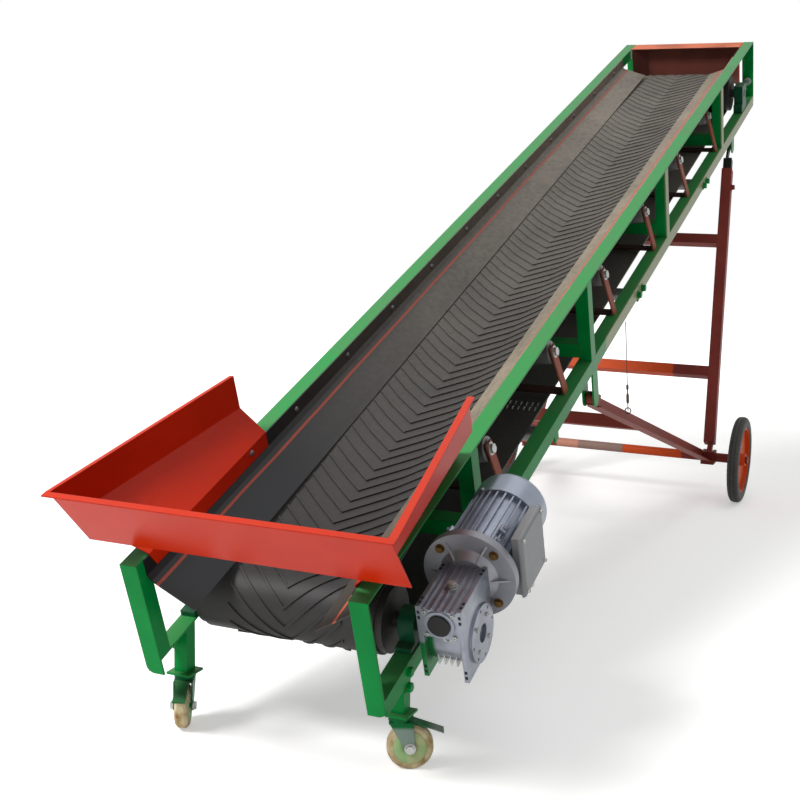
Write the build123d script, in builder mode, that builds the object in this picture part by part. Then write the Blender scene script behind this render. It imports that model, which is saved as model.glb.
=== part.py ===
"""Mobile troughed belt conveyor: an inclined frame of angle iron on two castors and a wheeled support.

Millimetres. +X runs uphill from the feed end to the discharge end, +Y is the left side, +Z is up.
The origin is on the floor, under the middle of the machine.
On the inclined frame a place is given as (along, across, depth): along the chords from the feed end,
across to the left of the middle, and depth below the top of the upper chords, square to the deck.
"""
from build123d import *
from math import atan2, cos, hypot, radians, sin, tan
import os

os.makedirs("parts", exist_ok=True)

# Side frames of angle iron; each post stands a distance uphill of a set of rollers
CHORD_LENGTH = 5000.0
INCLINE = 20.0
FEED_HEIGHT = 502.0
FRAME_WIDTH = 680.0
FRAME_DEPTH = 340.0
ANGLE_LEG = 50.0
ANGLE_WALL = 5.0
POST_CORNER_RADIUS = 22.0
POST_SETS = (0, 1, 3, -1)
POST_OFFSETS = (-272.0, 234.0, 130.0, 45.0)
CROSS_LIFT = 60.0

# Belt with a chevron tread, and its drums
BELT_CLEARANCE = 90.0
BELT_THICKNESS = 6.0
BELT_SEAT_GAP = 0.3
RIB_HEIGHT = 4.5
RIB_WIDTH = 10.0
RIB_PITCH = 55.0
RIB_ANGLE = 43.0
RIB_START = 12.0
RIB_ROOT = 1.0
DRUM_RADIUS = 88.0
DRUM_OVERHANG = 20.0
SHAFT_RADIUS = 20.0
SHAFT_SETBACK = 3.0
DRIVE_DRUM_PLACE = 250.0
DRIVE_DRUM_LIFT = 98.0
HEAD_DRUM_SETBACK = 258.0
HEAD_DRUM_LIFT = 140.0

# Drum bearings
BEARING_SETBACK = 3.0
BEARING_WIDTH = 44.0
BEARING_BORE_GAP = 0.3
PILLOW_BASE = 140.0
PILLOW_BASE_HEIGHT = 16.0
PILLOW_RADIUS = 42.0
TAKE_UP_HALF = 45.0
TAKE_UP_STAND = 60.0
TAKE_UP_SCREW_RADIUS = 9.0

# Troughing and return rollers
TROUGH_ANGLE = 12.0
TROUGH_FLAT = 200.0
ROLLER_RADIUS = 38.0
ROLLER_PIN_RADIUS = 10.0
PIN_HOLE_GAP = 0.3
FIRST_ROLLER_PLACE = 950.0
LAST_ROLLER_SETBACK = 662.0
ROLLER_SETS = 6
CENTRE_ROLLER_GAP = 4.0
WING_ROLLER_OVERHANG = 20.0
WING_ROLLER_INSET = 4.0
WING_PIN_INNER = 3.0
WING_PIN_OUTER = 18.0
BRACKET_WIDTH = 40.0
BRACKET_THICKNESS = 6.0
BRACKET_GAP = 4.0
BRACKET_ABOVE_PIN = 22.0
BASE_BAR_THICKNESS = 8.0
BASE_BAR_SETBACK = 36.0
RETURN_ROLLER_RADIUS = 25.0
RETURN_OVERHANG = 40.0
RETURN_FEED_PLACES = (1400.0, 2490.0)
RETURN_HEAD_SETBACK = 1022.0
HANGER_WIDTH = 36.0

# Rubber skirts along both sides of the belt
SKIRT_THICKNESS = 4.0
SKIRT_START = 30.0
SKIRT_END_SETBACK = 300.0
SKIRT_STRAIGHT = 45.0
SKIRT_KNEE_INSET = 10.0
SKIRT_KNEE_SHARE = 0.2
SKIRT_LAP = 80.0
SKIRT_BELT_GAP = 0.5

# Feed hopper, folded from sheet
HOPPER_SHEET = 3.0
HOPPER_FRONT = -61.0
HOPPER_END = 670.0
HOPPER_OVERHANG_FRONT = {"left": 96.0, "right": 112.0}
HOPPER_HEIGHT_FRONT = 238.0
HOPPER_OVERHANG_END = 13.0
HOPPER_HEIGHT_END = 181.0
HOPPER_BEND_FRONT = {"left": 143.0, "right": 181.0}
HOPPER_BEND_END = 78.0
HOPPER_LIP_HEIGHT = 6.0
HOPPER_STRIP_DEPTH = 40.0
HOPPER_FOOT_PLACE = 35.0
HOPPER_FOOT_HEIGHT = 40.0
HOPPER_FOOT_OVERHANG = 98.0
HOPPER_FLANGE = 20.0
HOPPER_SIDE_FLANGE = {"left": 12.0, "right": 20.0}

# Discharge baffle, a folded plate across the head end
BAFFLE_SHEET = 4.0
BAFFLE_REACH = 100.0
BAFFLE_FLAT_INSET = 70.0
BAFFLE_EDGE_INSET = 4.0
BAFFLE_LIFT = 85.0

# Worm gearbox and motor beside the feed end
GEARBOX_OUTSET = 101.0
GEARBOX_WIDTH = 118.0
GEARBOX_PLATE = 12.0
GEARBOX_FRONT = 102.0
GEARBOX_BACK = 85.0
GEARBOX_HEAD = 46.0
GEARBOX_FOOT = 76.0
GEARBOX_CHAMFER = 78.0
WORM_OFFSET = 90.0
WORM_BLOCK_HALF = 40.0
WHEEL_CASE_RADIUS = 62.0
GEARBOX_FIN_RADIUS = 71.0
GEARBOX_FIN_THICKNESS = 4.0
GEARBOX_FINS = 5
HUB_DISC_RADIUS = 75.0
HUB_DISC_THICKNESS = 6.0
HUB_BOLT_CIRCLE = 130.0
HUB_HOLES = 8
HUB_HOLE_RADIUS = 4.25
HUB_HOLE_DEPTH = 14.0
HUB_BORE_RADIUS = 24.0
CAP_BOSS_RADIUS = 39.0
CAP_BOSS_HEIGHT = 4.0
CAP_RADIUS = 29.0
CAP_THICKNESS = 5.0
FLANGE_NECK_RADIUS = 58.0
FLANGE_NECK_LENGTH = 17.0
FLANGE_HUB_RADIUS = 78.0
FLANGE_RADIUS = 123.0
FLANGE_THICKNESS = 24.0
FLANGE_RIBS = 6
FLANGE_RIB_THICKNESS = 5.0
FLANGE_RIB_INSET = 14.0
MOTOR_LENGTH = 224.0
MOTOR_CORE_RADIUS = 86.0
MOTOR_FIN_RADIUS = 98.0
MOTOR_FIN_THICKNESS = 5.0
MOTOR_FINS = 28
FAN_COVER_RADIUS = 100.0
FAN_COVER_LENGTH = 100.0
FAN_COVER_FILLET = 24.0
BOX_SETBACK = 21.0
BOX_LENGTH = 165.0
BOX_ABOVE = 97.0
BOX_BELOW = 80.0
BOX_THICKNESS = 30.0
BOX_LID = 13.0
BOX_LID_LIP = 4.0
BOX_FILLET = 10.0
BOX_STAND_OFF = 3.0
BOX_PEDESTAL_INSET = 45.0

# Castors and their legs under the feed end
CASTOR_PLACE = 250.0
CASTOR_INSET = 25.0
CASTOR_LEG = 40.0
CASTOR_LEG_WALL = 4.0
CASTOR_PLATE = 70.0
CASTOR_PLATE_THICKNESS = 6.0
CASTOR_HEIGHT = 148.0
CASTOR_TRAIL = 28.0
CASTOR_HEADINGS = {"left": 204.3, "right": 294.3}
CASTOR_WHEEL_RADIUS = 59.0
CASTOR_WHEEL_WIDTH = 34.0
CASTOR_WHEEL_CHAMFER = 7.0
CASTOR_AXLE_RADIUS = 6.0
CASTOR_KING_RADIUS = 8.0
CASTOR_FIT = 0.05
CASTOR_HEAD_RADIUS = 28.0
CASTOR_HEAD_GAP = 1.0
CASTOR_CROWN_THICKNESS = 4.0
CASTOR_WHEEL_GAP = 5.0
CASTOR_FORK_WALL = 4.0
CASTOR_CROWN_BACK = -26.0
CASTOR_CROWN_FRONT = 36.0
CASTOR_EYE_RADIUS = 13.0
PEDAL_END = 112.0
PEDAL_DROP = 25.0
PEDAL_WIDTH = 34.0

# Wheeled support: braces hinged under the lower chords, an axle, and telescopic legs
WHEEL_RADIUS = 200.0
TYRE_WIDTH = 50.0
TYRE_SHOULDER = 11.0
RIM_RADIUS = 150.0
RIM_WIDTH = 42.0
RIM_WALL = 6.0
RIM_WEB = 6.0
RIM_SEAT_GAP = 0.3
WHEEL_HUB_RADIUS = 28.0
WHEEL_HUB_WIDTH = 56.0
WHEEL_OUTSET = 142.0
AXLE_RADIUS = 21.0
STUB_RADIUS = 14.0
STUB_FIT = 0.08
STUB_SHOULDER_GAP = 8.0
NUT_RADIUS = 20.0
NUT_GAP = 2.0
NUT_THICKNESS = 8.0
KNUCKLE_OUTSET = 100.0
KNUCKLE_WIDTH = 60.0
KNUCKLE_CHEEK = 14.0
KNUCKLE_HALF = 30.0
KNUCKLE_FRONT = 40.0
KNUCKLE_PLATE = 6.0
BRACE_PIVOT_PLACE = 1857.0
BRACE_PIVOT_DROP = 122.0
BRACE_ANGLE = 50.0
BRACE_WALL = 5.0
BRACE_START = 46.0
BRACE_NECK_END = 90.0
BRACE_SLEEVE_RADIUS = 20.0
BRACE_SLEEVE_LENGTH = 26.0
BRACE_TIE_SHARE = 0.38
PIN_RADIUS = 10.0
PIN_FIT = 0.05
LUG_PLATE = 6.0
LUG_WIDTH = 60.0
LUG_GAP = 3.0
LEG_PIN_SETBACK = 561.0
LEG_PIN_DROP = 50.0
LEG_PIN_INSET = 25.0
LEG_PIN_STUB = 30.0
LEG_PIN_SLACK = 9.0
LEG_LEAN = 754.7
LEG_EYE_RADIUS = 28.0
LEG_EYE_THICKNESS = 10.0
LEG_EYE_TAIL = 110.0
LEG_TUBE = 50.0
LEG_TUBE_WALL = 4.0
LEG_TUBE_START = 66.0
LEG_TUBE_SHARE = 0.92
LEG_FOOT_THICKNESS = 20.0
LEG_FOOT_RADIUS = 30.0
LEG_FOOT_WIDTH = 38.0
LEG_FOOT_TAIL = 105.0
LEG_FOOT_FIT = 0.08
LEG_SLIDE_GAP = 0.6
LEG_INNER_START = 760.0
LEG_INNER_TOP_GAP = 72.0
LEG_TIE_SHARES = (0.255, 0.68)

# Places across the frame that follow from its width
HALF_WIDTH = FRAME_WIDTH / 2
INNER = HALF_WIDTH - ANGLE_LEG
OUTER_WEB = HALF_WIDTH - ANGLE_WALL
BELT_WIDTH = FRAME_WIDTH - 2 * BELT_CLEARANCE
DRUM_LENGTH = BELT_WIDTH + 2 * DRUM_OVERHANG
SHAFT_END = HALF_WIDTH - SHAFT_SETBACK
BEARING_INNER = INNER + BEARING_SETBACK
SKIRT_KNEE_ACROSS = INNER - SKIRT_KNEE_INSET
SKIRT_TIP_ACROSS = BELT_WIDTH / 2 - SKIRT_LAP
HOPPER_RIM = {name: HALF_WIDTH + overhang for name, overhang in HOPPER_OVERHANG_FRONT.items()}
HOPPER_RIM_END = HALF_WIDTH + HOPPER_OVERHANG_END
GEARBOX_MIDDLE = -HALF_WIDTH - GEARBOX_OUTSET
CASTOR_ACROSS = HALF_WIDTH - CASTOR_INSET
KNUCKLE_ACROSS = HALF_WIDTH + KNUCKLE_OUTSET
WHEEL_ACROSS = KNUCKLE_ACROSS + WHEEL_OUTSET
LEG_PIN_ACROSS = HALF_WIDTH - LEG_PIN_INSET

# Places along and below the chords that follow from their length and from the frame's depth
LOWER_TOP = FRAME_DEPTH - ANGLE_LEG
LOWER_UNDER = LOWER_TOP + ANGLE_WALL
CROSS_TOP = LOWER_TOP - CROSS_LIFT
DRIVE_DRUM_DEPTH = FRAME_DEPTH - DRIVE_DRUM_LIFT
HEAD_DRUM_PLACE = CHORD_LENGTH - HEAD_DRUM_SETBACK
HEAD_DRUM_DEPTH = FRAME_DEPTH - HEAD_DRUM_LIFT
ROLLER_PITCH = (HEAD_DRUM_PLACE - LAST_ROLLER_SETBACK - FIRST_ROLLER_PLACE) / (ROLLER_SETS - 1)
ROLLER_PLACES = [FIRST_ROLLER_PLACE + ROLLER_PITCH * index for index in range(ROLLER_SETS)]
POST_PLACES = [ROLLER_PLACES[index] + offset for index, offset in zip(POST_SETS, POST_OFFSETS)]
RETURN_PLACES = (*RETURN_FEED_PLACES, HEAD_DRUM_PLACE - RETURN_HEAD_SETBACK)
SKIRT_END = CHORD_LENGTH - SKIRT_END_SETBACK
BRACE_PIVOT_DEPTH = FRAME_DEPTH + BRACE_PIVOT_DROP
LEG_PIN_PLACE = CHORD_LENGTH - LEG_PIN_SETBACK
LEG_PIN_DEPTH = FRAME_DEPTH + LEG_PIN_DROP

# Directions and planes that follow from the incline
SLOPE = radians(INCLINE)
UPHILL = Vector(cos(SLOPE), 0, sin(SLOPE))
DECK_UP = Vector(-sin(SLOPE), 0, cos(SLOPE))
LEFT = Vector(0, 1, 0)
RIGHT = Vector(0, -1, 0)
UP = Vector(0, 0, 1)
SIDES = {"left": 1, "right": -1}
FRONT_REACH = (HOPPER_FRONT - HOPPER_FLANGE) * cos(SLOPE) - HOPPER_HEIGHT_FRONT * sin(SLOPE)
BACK_REACH = CHORD_LENGTH * cos(SLOPE) + FRAME_DEPTH * sin(SLOPE)
FEED = Vector(-(FRONT_REACH + BACK_REACH) / 2, 0, FEED_HEIGHT)
DECK = Plane(origin=FEED, x_dir=UPHILL, z_dir=DECK_UP)


def deck_point(along, across, depth):
    """World place of a point given along, across and below the frame."""
    return FEED + UPHILL * along + LEFT * across - DECK_UP * depth


def cross_plane(along):
    """Plane square to the chords: local x is across to the left, local y is up from the deck."""
    return Plane(origin=deck_point(along, 0, 0), x_dir=LEFT, z_dir=UPHILL)


def side_plane(across):
    """Plane along the chords: local x is uphill, local y is up from the deck, and it faces right."""
    return Plane(origin=deck_point(0, across, 0), x_dir=UPHILL, z_dir=RIGHT)


def deck_box(along, across, depth):
    """Block on the frame between pairs of places along, across and in depth."""
    middle = ((along[0] + along[1]) / 2, (across[0] + across[1]) / 2, -(depth[0] + depth[1]) / 2)
    with Locations(middle):
        Box(abs(along[1] - along[0]), abs(across[1] - across[0]), abs(depth[1] - depth[0]))


def sheet_outline(points, wall):
    """Outline of a folded sheet: the given face, and its mitred copy one wall to the left of it."""
    corners = [Vector(*point) for point in points]
    normals = []
    for start, end in zip(corners, corners[1:]):
        run = (end - start).normalized()
        normals.append(Vector(-run.Y, run.X))
    before = [normals[0]] + normals
    after = normals + [normals[-1]]
    offsets = [
        corner + (first + second) * (wall / (1 + first.dot(second)))
        for corner, first, second in zip(corners, before, after)
    ]
    return corners + offsets[::-1]


def save(builder, name):
    """Label a finished piece and write its file."""
    builder.part.label = name
    export_step(builder.part, f"parts/{name}.step")


# Upper chords: flange on top, web hanging on the inner side
with BuildPart() as top_chords:
    with BuildSketch(cross_plane(ANGLE_WALL)):
        for side in SIDES.values():
            with BuildLine():
                Polyline(
                    (side * INNER, 0),
                    (side * HALF_WIDTH, 0),
                    (side * HALF_WIDTH, -ANGLE_WALL),
                    (side * (INNER + ANGLE_WALL), -ANGLE_WALL),
                    (side * (INNER + ANGLE_WALL), -ANGLE_LEG),
                    (side * INNER, -ANGLE_LEG),
                    close=True,
                )
            make_face()
    extrude(amount=CHORD_LENGTH - 2 * ANGLE_WALL)
save(top_chords, "top_chords")

# Lower chords: flange on top, outer leg hanging
with BuildPart() as bottom_chords:
    with BuildSketch(cross_plane(ANGLE_WALL)):
        for side in SIDES.values():
            with BuildLine():
                Polyline(
                    (side * INNER, -LOWER_TOP),
                    (side * HALF_WIDTH, -LOWER_TOP),
                    (side * HALF_WIDTH, -FRAME_DEPTH),
                    (side * OUTER_WEB, -FRAME_DEPTH),
                    (side * OUTER_WEB, -LOWER_UNDER),
                    (side * INNER, -LOWER_UNDER),
                    close=True,
                )
            make_face()
    extrude(amount=CHORD_LENGTH - 2 * ANGLE_WALL)
save(bottom_chords, "bottom_chords")

# End posts close the side frames: a face across the end and a web on the inner side
for name, face_start, web in (
    ("feed_posts", 0.0, (ANGLE_WALL, ANGLE_LEG)),
    ("head_posts", CHORD_LENGTH - ANGLE_WALL, (CHORD_LENGTH - ANGLE_LEG, CHORD_LENGTH - ANGLE_WALL)),
):
    with BuildPart(DECK) as end_posts:
        for side in SIDES.values():
            with BuildSketch(cross_plane(face_start)):
                with BuildLine():
                    FilletPolyline(
                        (side * INNER, 0),
                        (side * HALF_WIDTH, 0),
                        (side * HALF_WIDTH, -FRAME_DEPTH),
                        (side * INNER, -FRAME_DEPTH),
                        radius=(0, POST_CORNER_RADIUS),
                    )
                    Line((side * INNER, -FRAME_DEPTH), (side * INNER, 0))
                make_face()
            extrude(amount=ANGLE_WALL)
            deck_box(web, (side * INNER, side * (INNER + ANGLE_WALL)), (ANGLE_LEG, LOWER_TOP))
    save(end_posts, name)

# Side posts: angle iron, outer leg flush with the frame, the other leg facing downhill
with BuildPart(DECK) as side_posts:
    for place in POST_PLACES:
        for side in SIDES.values():
            outer = (side * OUTER_WEB, side * HALF_WIDTH)
            inner = (side * (INNER + ANGLE_WALL), side * OUTER_WEB)
            deck_box((place, place + ANGLE_LEG), outer, (ANGLE_WALL, LOWER_TOP))
            deck_box((place, place + ANGLE_WALL), inner, (ANGLE_WALL, LOWER_TOP))
save(side_posts, "side_posts")

# Cross members of angle iron tie the side posts together between the two strands of the belt
with BuildPart(DECK) as cross_members:
    reach = INNER + ANGLE_WALL
    for place in POST_PLACES:
        deck_box((place, place + ANGLE_WALL), (-reach, reach), (CROSS_TOP, CROSS_TOP + ANGLE_LEG))
        deck_box((place, place + ANGLE_LEG), (-reach, reach), (CROSS_TOP, CROSS_TOP + ANGLE_WALL))
save(cross_members, "cross_members")

# Belt line: runs between the drum centres, tilted a little from the chords
BELT_RISE = DRIVE_DRUM_DEPTH - HEAD_DRUM_DEPTH
BELT_SPAN = hypot(HEAD_DRUM_PLACE - DRIVE_DRUM_PLACE, BELT_RISE)
BELT_TILT = atan2(BELT_RISE, HEAD_DRUM_PLACE - DRIVE_DRUM_PLACE)
BELT_ALONG = UPHILL * cos(BELT_TILT) + DECK_UP * sin(BELT_TILT)
BELT_UP = DECK_UP * cos(BELT_TILT) - UPHILL * sin(BELT_TILT)
BELT_INSIDE = DRUM_RADIUS + BELT_SEAT_GAP
BELT_OUTSIDE = BELT_INSIDE + BELT_THICKNESS
WING = radians(TROUGH_ANGLE)
WING_WIDTH = (BELT_WIDTH - TROUGH_FLAT) / 2


def belt_side(across):
    """Plane along the belt through the drive drum's axis: local x runs uphill, local y is up."""
    return Plane(origin=deck_point(DRIVE_DRUM_PLACE, across, DRIVE_DRUM_DEPTH), x_dir=BELT_ALONG, z_dir=RIGHT)


def belt_run(along):
    """Distance from the drive drum's axis, on the belt line, of a place along the chords."""
    return (along - DRIVE_DRUM_PLACE) / cos(BELT_TILT)


def belt_cross(run):
    """Plane square to the belt line: local x is across to the left, local y is up from the drum axes."""
    return Plane(origin=belt_side(0).origin + BELT_ALONG * run, x_dir=LEFT, z_dir=BELT_ALONG)


def line_depth(along):
    """Depth of the belt line below the deck at a place along the chords."""
    return DRIVE_DRUM_DEPTH - (along - DRIVE_DRUM_PLACE) * tan(BELT_TILT)


# Belt: one closed loop, flat on the drums, its wings raised over the troughing rollers.
# Chevron ribs on the middle of the upper strand point downhill.
WING_STATIONS = (
    (0.0, 0.0),
    (belt_run(ROLLER_PLACES[0]), WING),
    (belt_run(ROLLER_PLACES[-1]), WING),
    (BELT_SPAN, 0.0),
)
RIB_HALF = TROUGH_FLAT / 2
RIB_RUN = RIB_HALF * tan(radians(RIB_ANGLE))
RIB_COUNT = int((BELT_SPAN - RIB_RUN - RIB_WIDTH - RIB_START) / RIB_PITCH) + 1
with BuildPart() as belt:
    with BuildSketch(belt_side(BELT_WIDTH / 2)):
        with Locations((BELT_SPAN / 2, 0)):
            SlotCenterToCenter(BELT_SPAN, 2 * BELT_OUTSIDE)
            SlotCenterToCenter(BELT_SPAN, 2 * BELT_INSIDE, mode=Mode.SUBTRACT)
        with Locations((BELT_SPAN / 2, BELT_OUTSIDE)):
            Rectangle(BELT_SPAN, 2 * BELT_OUTSIDE, mode=Mode.SUBTRACT)
    extrude(amount=BELT_WIDTH)
    with BuildSketch(belt_side(TROUGH_FLAT / 2)):
        with Locations((BELT_SPAN / 2, BELT_INSIDE + BELT_THICKNESS / 2)):
            Rectangle(BELT_SPAN, BELT_THICKNESS)
    extrude(amount=TROUGH_FLAT)
    for side in SIDES.values():
        for run, raised in WING_STATIONS:
            root = TROUGH_FLAT / 2
            tip = root + WING_WIDTH * cos(raised)
            lift = WING_WIDTH * sin(raised)
            with BuildSketch(belt_cross(run)):
                with BuildLine():
                    Polyline(
                        (side * root, BELT_INSIDE),
                        (side * tip, BELT_INSIDE + lift),
                        (side * tip, BELT_OUTSIDE + lift),
                        (side * root, BELT_OUTSIDE),
                        close=True,
                    )
                make_face()
        loft(ruled=True)
    tread_origin = belt_side(0).origin + BELT_UP * (BELT_OUTSIDE - RIB_ROOT)
    with BuildSketch(Plane(origin=tread_origin, x_dir=BELT_ALONG, z_dir=BELT_UP)):
        for index in range(RIB_COUNT):
            point = RIB_START + RIB_PITCH * index
            with BuildLine():
                Polyline(
                    (point, 0),
                    (point + RIB_RUN, RIB_HALF),
                    (point + RIB_RUN + RIB_WIDTH, RIB_HALF),
                    (point + RIB_WIDTH, 0),
                    (point + RIB_RUN + RIB_WIDTH, -RIB_HALF),
                    (point + RIB_RUN, -RIB_HALF),
                    close=True,
                )
            make_face()
    extrude(amount=RIB_ROOT + RIB_HEIGHT)
save(belt, "belt")

# Drums on their shafts; the drive drum's shaft runs on to the gearbox
GEARBOX_INNER = GEARBOX_MIDDLE + GEARBOX_WIDTH / 2
HUB_INNER = GEARBOX_INNER + HUB_DISC_THICKNESS
for name, place, depth, right_end in (
    ("drive_drum", DRIVE_DRUM_PLACE, DRIVE_DRUM_DEPTH, -HUB_INNER),
    ("head_drum", HEAD_DRUM_PLACE, HEAD_DRUM_DEPTH, SHAFT_END),
):
    with BuildPart() as drum:
        with BuildSketch(side_plane(DRUM_LENGTH / 2)):
            with Locations((place, -depth)):
                Circle(DRUM_RADIUS)
        extrude(amount=DRUM_LENGTH)
        with BuildSketch(side_plane(SHAFT_END)):
            with Locations((place, -depth)):
                Circle(SHAFT_RADIUS)
        extrude(amount=SHAFT_END + right_end)
    save(drum, name)

# Pillow blocks carry the drive drum on the lower chords
with BuildPart(DECK) as drive_bearings:
    for across in (BEARING_INNER + BEARING_WIDTH, -BEARING_INNER):
        deck_box(
            (DRIVE_DRUM_PLACE - PILLOW_BASE / 2, DRIVE_DRUM_PLACE + PILLOW_BASE / 2),
            (across - BEARING_WIDTH, across),
            (LOWER_TOP - PILLOW_BASE_HEIGHT, LOWER_TOP),
        )
        with BuildSketch(side_plane(across)):
            with Locations((DRIVE_DRUM_PLACE, -DRIVE_DRUM_DEPTH)):
                Circle(PILLOW_RADIUS)
            with Locations((DRIVE_DRUM_PLACE, -(DRIVE_DRUM_DEPTH + LOWER_TOP) / 2)):
                Rectangle(2 * PILLOW_RADIUS, LOWER_TOP - DRIVE_DRUM_DEPTH)
        extrude(amount=BEARING_WIDTH)
        with BuildSketch(side_plane(across)):
            with Locations((DRIVE_DRUM_PLACE, -DRIVE_DRUM_DEPTH)):
                Circle(SHAFT_RADIUS + BEARING_BORE_GAP)
        extrude(amount=BEARING_WIDTH, mode=Mode.SUBTRACT)
save(drive_bearings, "drive_bearings")

# Take-up bearings carry the head drum: a housing on a stand, set by a screw from the head post
with BuildPart(DECK) as take_up_bearings:
    for across in (BEARING_INNER + BEARING_WIDTH, -BEARING_INNER):
        edges = (across - BEARING_WIDTH, across)
        deck_box(
            (HEAD_DRUM_PLACE - TAKE_UP_HALF, HEAD_DRUM_PLACE + TAKE_UP_HALF),
            edges,
            (HEAD_DRUM_DEPTH - TAKE_UP_HALF, HEAD_DRUM_DEPTH + TAKE_UP_HALF),
        )
        deck_box(
            (HEAD_DRUM_PLACE - TAKE_UP_STAND, HEAD_DRUM_PLACE + TAKE_UP_STAND),
            edges,
            (HEAD_DRUM_DEPTH + TAKE_UP_HALF, LOWER_TOP),
        )
        screw_start = HEAD_DRUM_PLACE + TAKE_UP_HALF
        with BuildSketch(cross_plane(screw_start)):
            with Locations((across - BEARING_WIDTH / 2, -HEAD_DRUM_DEPTH)):
                Circle(TAKE_UP_SCREW_RADIUS)
        extrude(amount=CHORD_LENGTH - ANGLE_WALL - screw_start)
        with BuildSketch(side_plane(across)):
            with Locations((HEAD_DRUM_PLACE, -HEAD_DRUM_DEPTH)):
                Circle(SHAFT_RADIUS + BEARING_BORE_GAP)
        extrude(amount=BEARING_WIDTH, mode=Mode.SUBTRACT)
save(take_up_bearings, "take_up_bearings")

# Troughing rollers in sets of three: a level one between two raised ones
ROLLER_AXIS = BELT_INSIDE - BELT_SEAT_GAP - ROLLER_RADIUS
WING_OFFSET = ROLLER_RADIUS + BELT_SEAT_GAP
WING_AXIS_START = (
    TROUGH_FLAT / 2 + WING_OFFSET * sin(WING) + WING_ROLLER_INSET * cos(WING),
    BELT_INSIDE - WING_OFFSET * cos(WING) + WING_ROLLER_INSET * sin(WING),
)
PEDESTAL_INNER = TROUGH_FLAT / 2
PEDESTAL_OUTER = PEDESTAL_INNER + BRACKET_THICKNESS
WING_ROLLER_LENGTH = WING_WIDTH + WING_ROLLER_OVERHANG


def wing_plane(place, side, distance):
    """Plane square to a raised roller's axis, a distance out from its inner end; it faces outwards."""
    outwards = LEFT * (side * cos(WING)) + BELT_UP * sin(WING)
    across, height = WING_AXIS_START
    foot = belt_cross(belt_run(place)).origin + LEFT * (side * across) + BELT_UP * height
    return Plane(origin=foot + outwards * distance, x_dir=BELT_ALONG, z_dir=outwards)


with BuildPart() as centre_rollers:
    for place in ROLLER_PLACES:
        for radius, half_length in (
            (ROLLER_RADIUS, PEDESTAL_INNER - CENTRE_ROLLER_GAP),
            (ROLLER_PIN_RADIUS, PEDESTAL_OUTER),
        ):
            with BuildSketch(belt_side(half_length)):
                with Locations((belt_run(place), ROLLER_AXIS)):
                    Circle(radius)
            extrude(amount=2 * half_length)
save(centre_rollers, "centre_rollers")

with BuildPart() as wing_rollers:
    for place in ROLLER_PLACES:
        for side in SIDES.values():
            with BuildSketch(wing_plane(place, side, 0)):
                Circle(ROLLER_RADIUS)
            extrude(amount=WING_ROLLER_LENGTH)
            with BuildSketch(wing_plane(place, side, -WING_PIN_INNER)):
                Circle(ROLLER_PIN_RADIUS)
            extrude(amount=WING_PIN_INNER + WING_ROLLER_LENGTH + WING_PIN_OUTER)
save(wing_rollers, "wing_rollers")

# Flat brackets stand on the lower chords, square to the raised rollers, and hold their outer ends
with BuildPart() as roller_brackets:
    for place in ROLLER_PLACES:
        for side in SIDES.values():
            with BuildSketch(wing_plane(place, side, WING_ROLLER_LENGTH + BRACKET_GAP)):
                with Locations((0, -side * (BRACKET_ABOVE_PIN - FRAME_DEPTH / 2))):
                    Rectangle(BRACKET_WIDTH, FRAME_DEPTH)
                Circle(ROLLER_PIN_RADIUS + PIN_HOLE_GAP, mode=Mode.SUBTRACT)
            extrude(amount=BRACKET_THICKNESS)
    split(bisect_by=DECK.offset(-LOWER_TOP), keep=Keep.TOP)
save(roller_brackets, "roller_brackets")

# Base bars lie across the lower chords; their pedestals hold the inner ends of the rollers
BASE_BAR_HALF = HALF_WIDTH - BASE_BAR_SETBACK
with BuildPart(DECK) as roller_bases:
    for place in ROLLER_PLACES:
        span = (place - BRACKET_WIDTH / 2, place + BRACKET_WIDTH / 2)
        base_top = LOWER_TOP - BASE_BAR_THICKNESS
        pedestal_top = line_depth(place) - ROLLER_AXIS - BRACKET_WIDTH / 2
        deck_box(span, (-BASE_BAR_HALF, BASE_BAR_HALF), (base_top, LOWER_TOP))
        for side in SIDES.values():
            deck_box(span, (side * PEDESTAL_INNER, side * PEDESTAL_OUTER), (pedestal_top, base_top))
        with BuildSketch(belt_side(PEDESTAL_OUTER)):
            with Locations((belt_run(place), ROLLER_AXIS)):
                Circle(ROLLER_PIN_RADIUS + PIN_HOLE_GAP)
        extrude(amount=2 * PEDESTAL_OUTER, mode=Mode.SUBTRACT)
save(roller_bases, "roller_bases")

# Return rollers carry the lower strand, on hangers inside the lower chords
RETURN_AXIS = BELT_OUTSIDE + RIB_HEIGHT + BELT_SEAT_GAP + RETURN_ROLLER_RADIUS
HANGER_INNER = OUTER_WEB - BRACKET_THICKNESS
with BuildPart() as return_rollers:
    for place in RETURN_PLACES:
        for radius, half_length in (
            (RETURN_ROLLER_RADIUS, BELT_WIDTH / 2 + RETURN_OVERHANG),
            (ROLLER_PIN_RADIUS, HANGER_INNER),
        ):
            with BuildSketch(belt_side(half_length)):
                with Locations((belt_run(place), -RETURN_AXIS)):
                    Circle(radius)
            extrude(amount=2 * half_length)
save(return_rollers, "return_rollers")

with BuildPart(DECK) as return_hangers:
    for place in RETURN_PLACES:
        for side in SIDES.values():
            deck_box(
                (place - HANGER_WIDTH / 2, place + HANGER_WIDTH / 2),
                (side * HANGER_INNER, side * OUTER_WEB),
                (LOWER_UNDER, line_depth(place) + RETURN_AXIS + HANGER_WIDTH / 2),
            )
save(return_hangers, "return_hangers")

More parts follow.
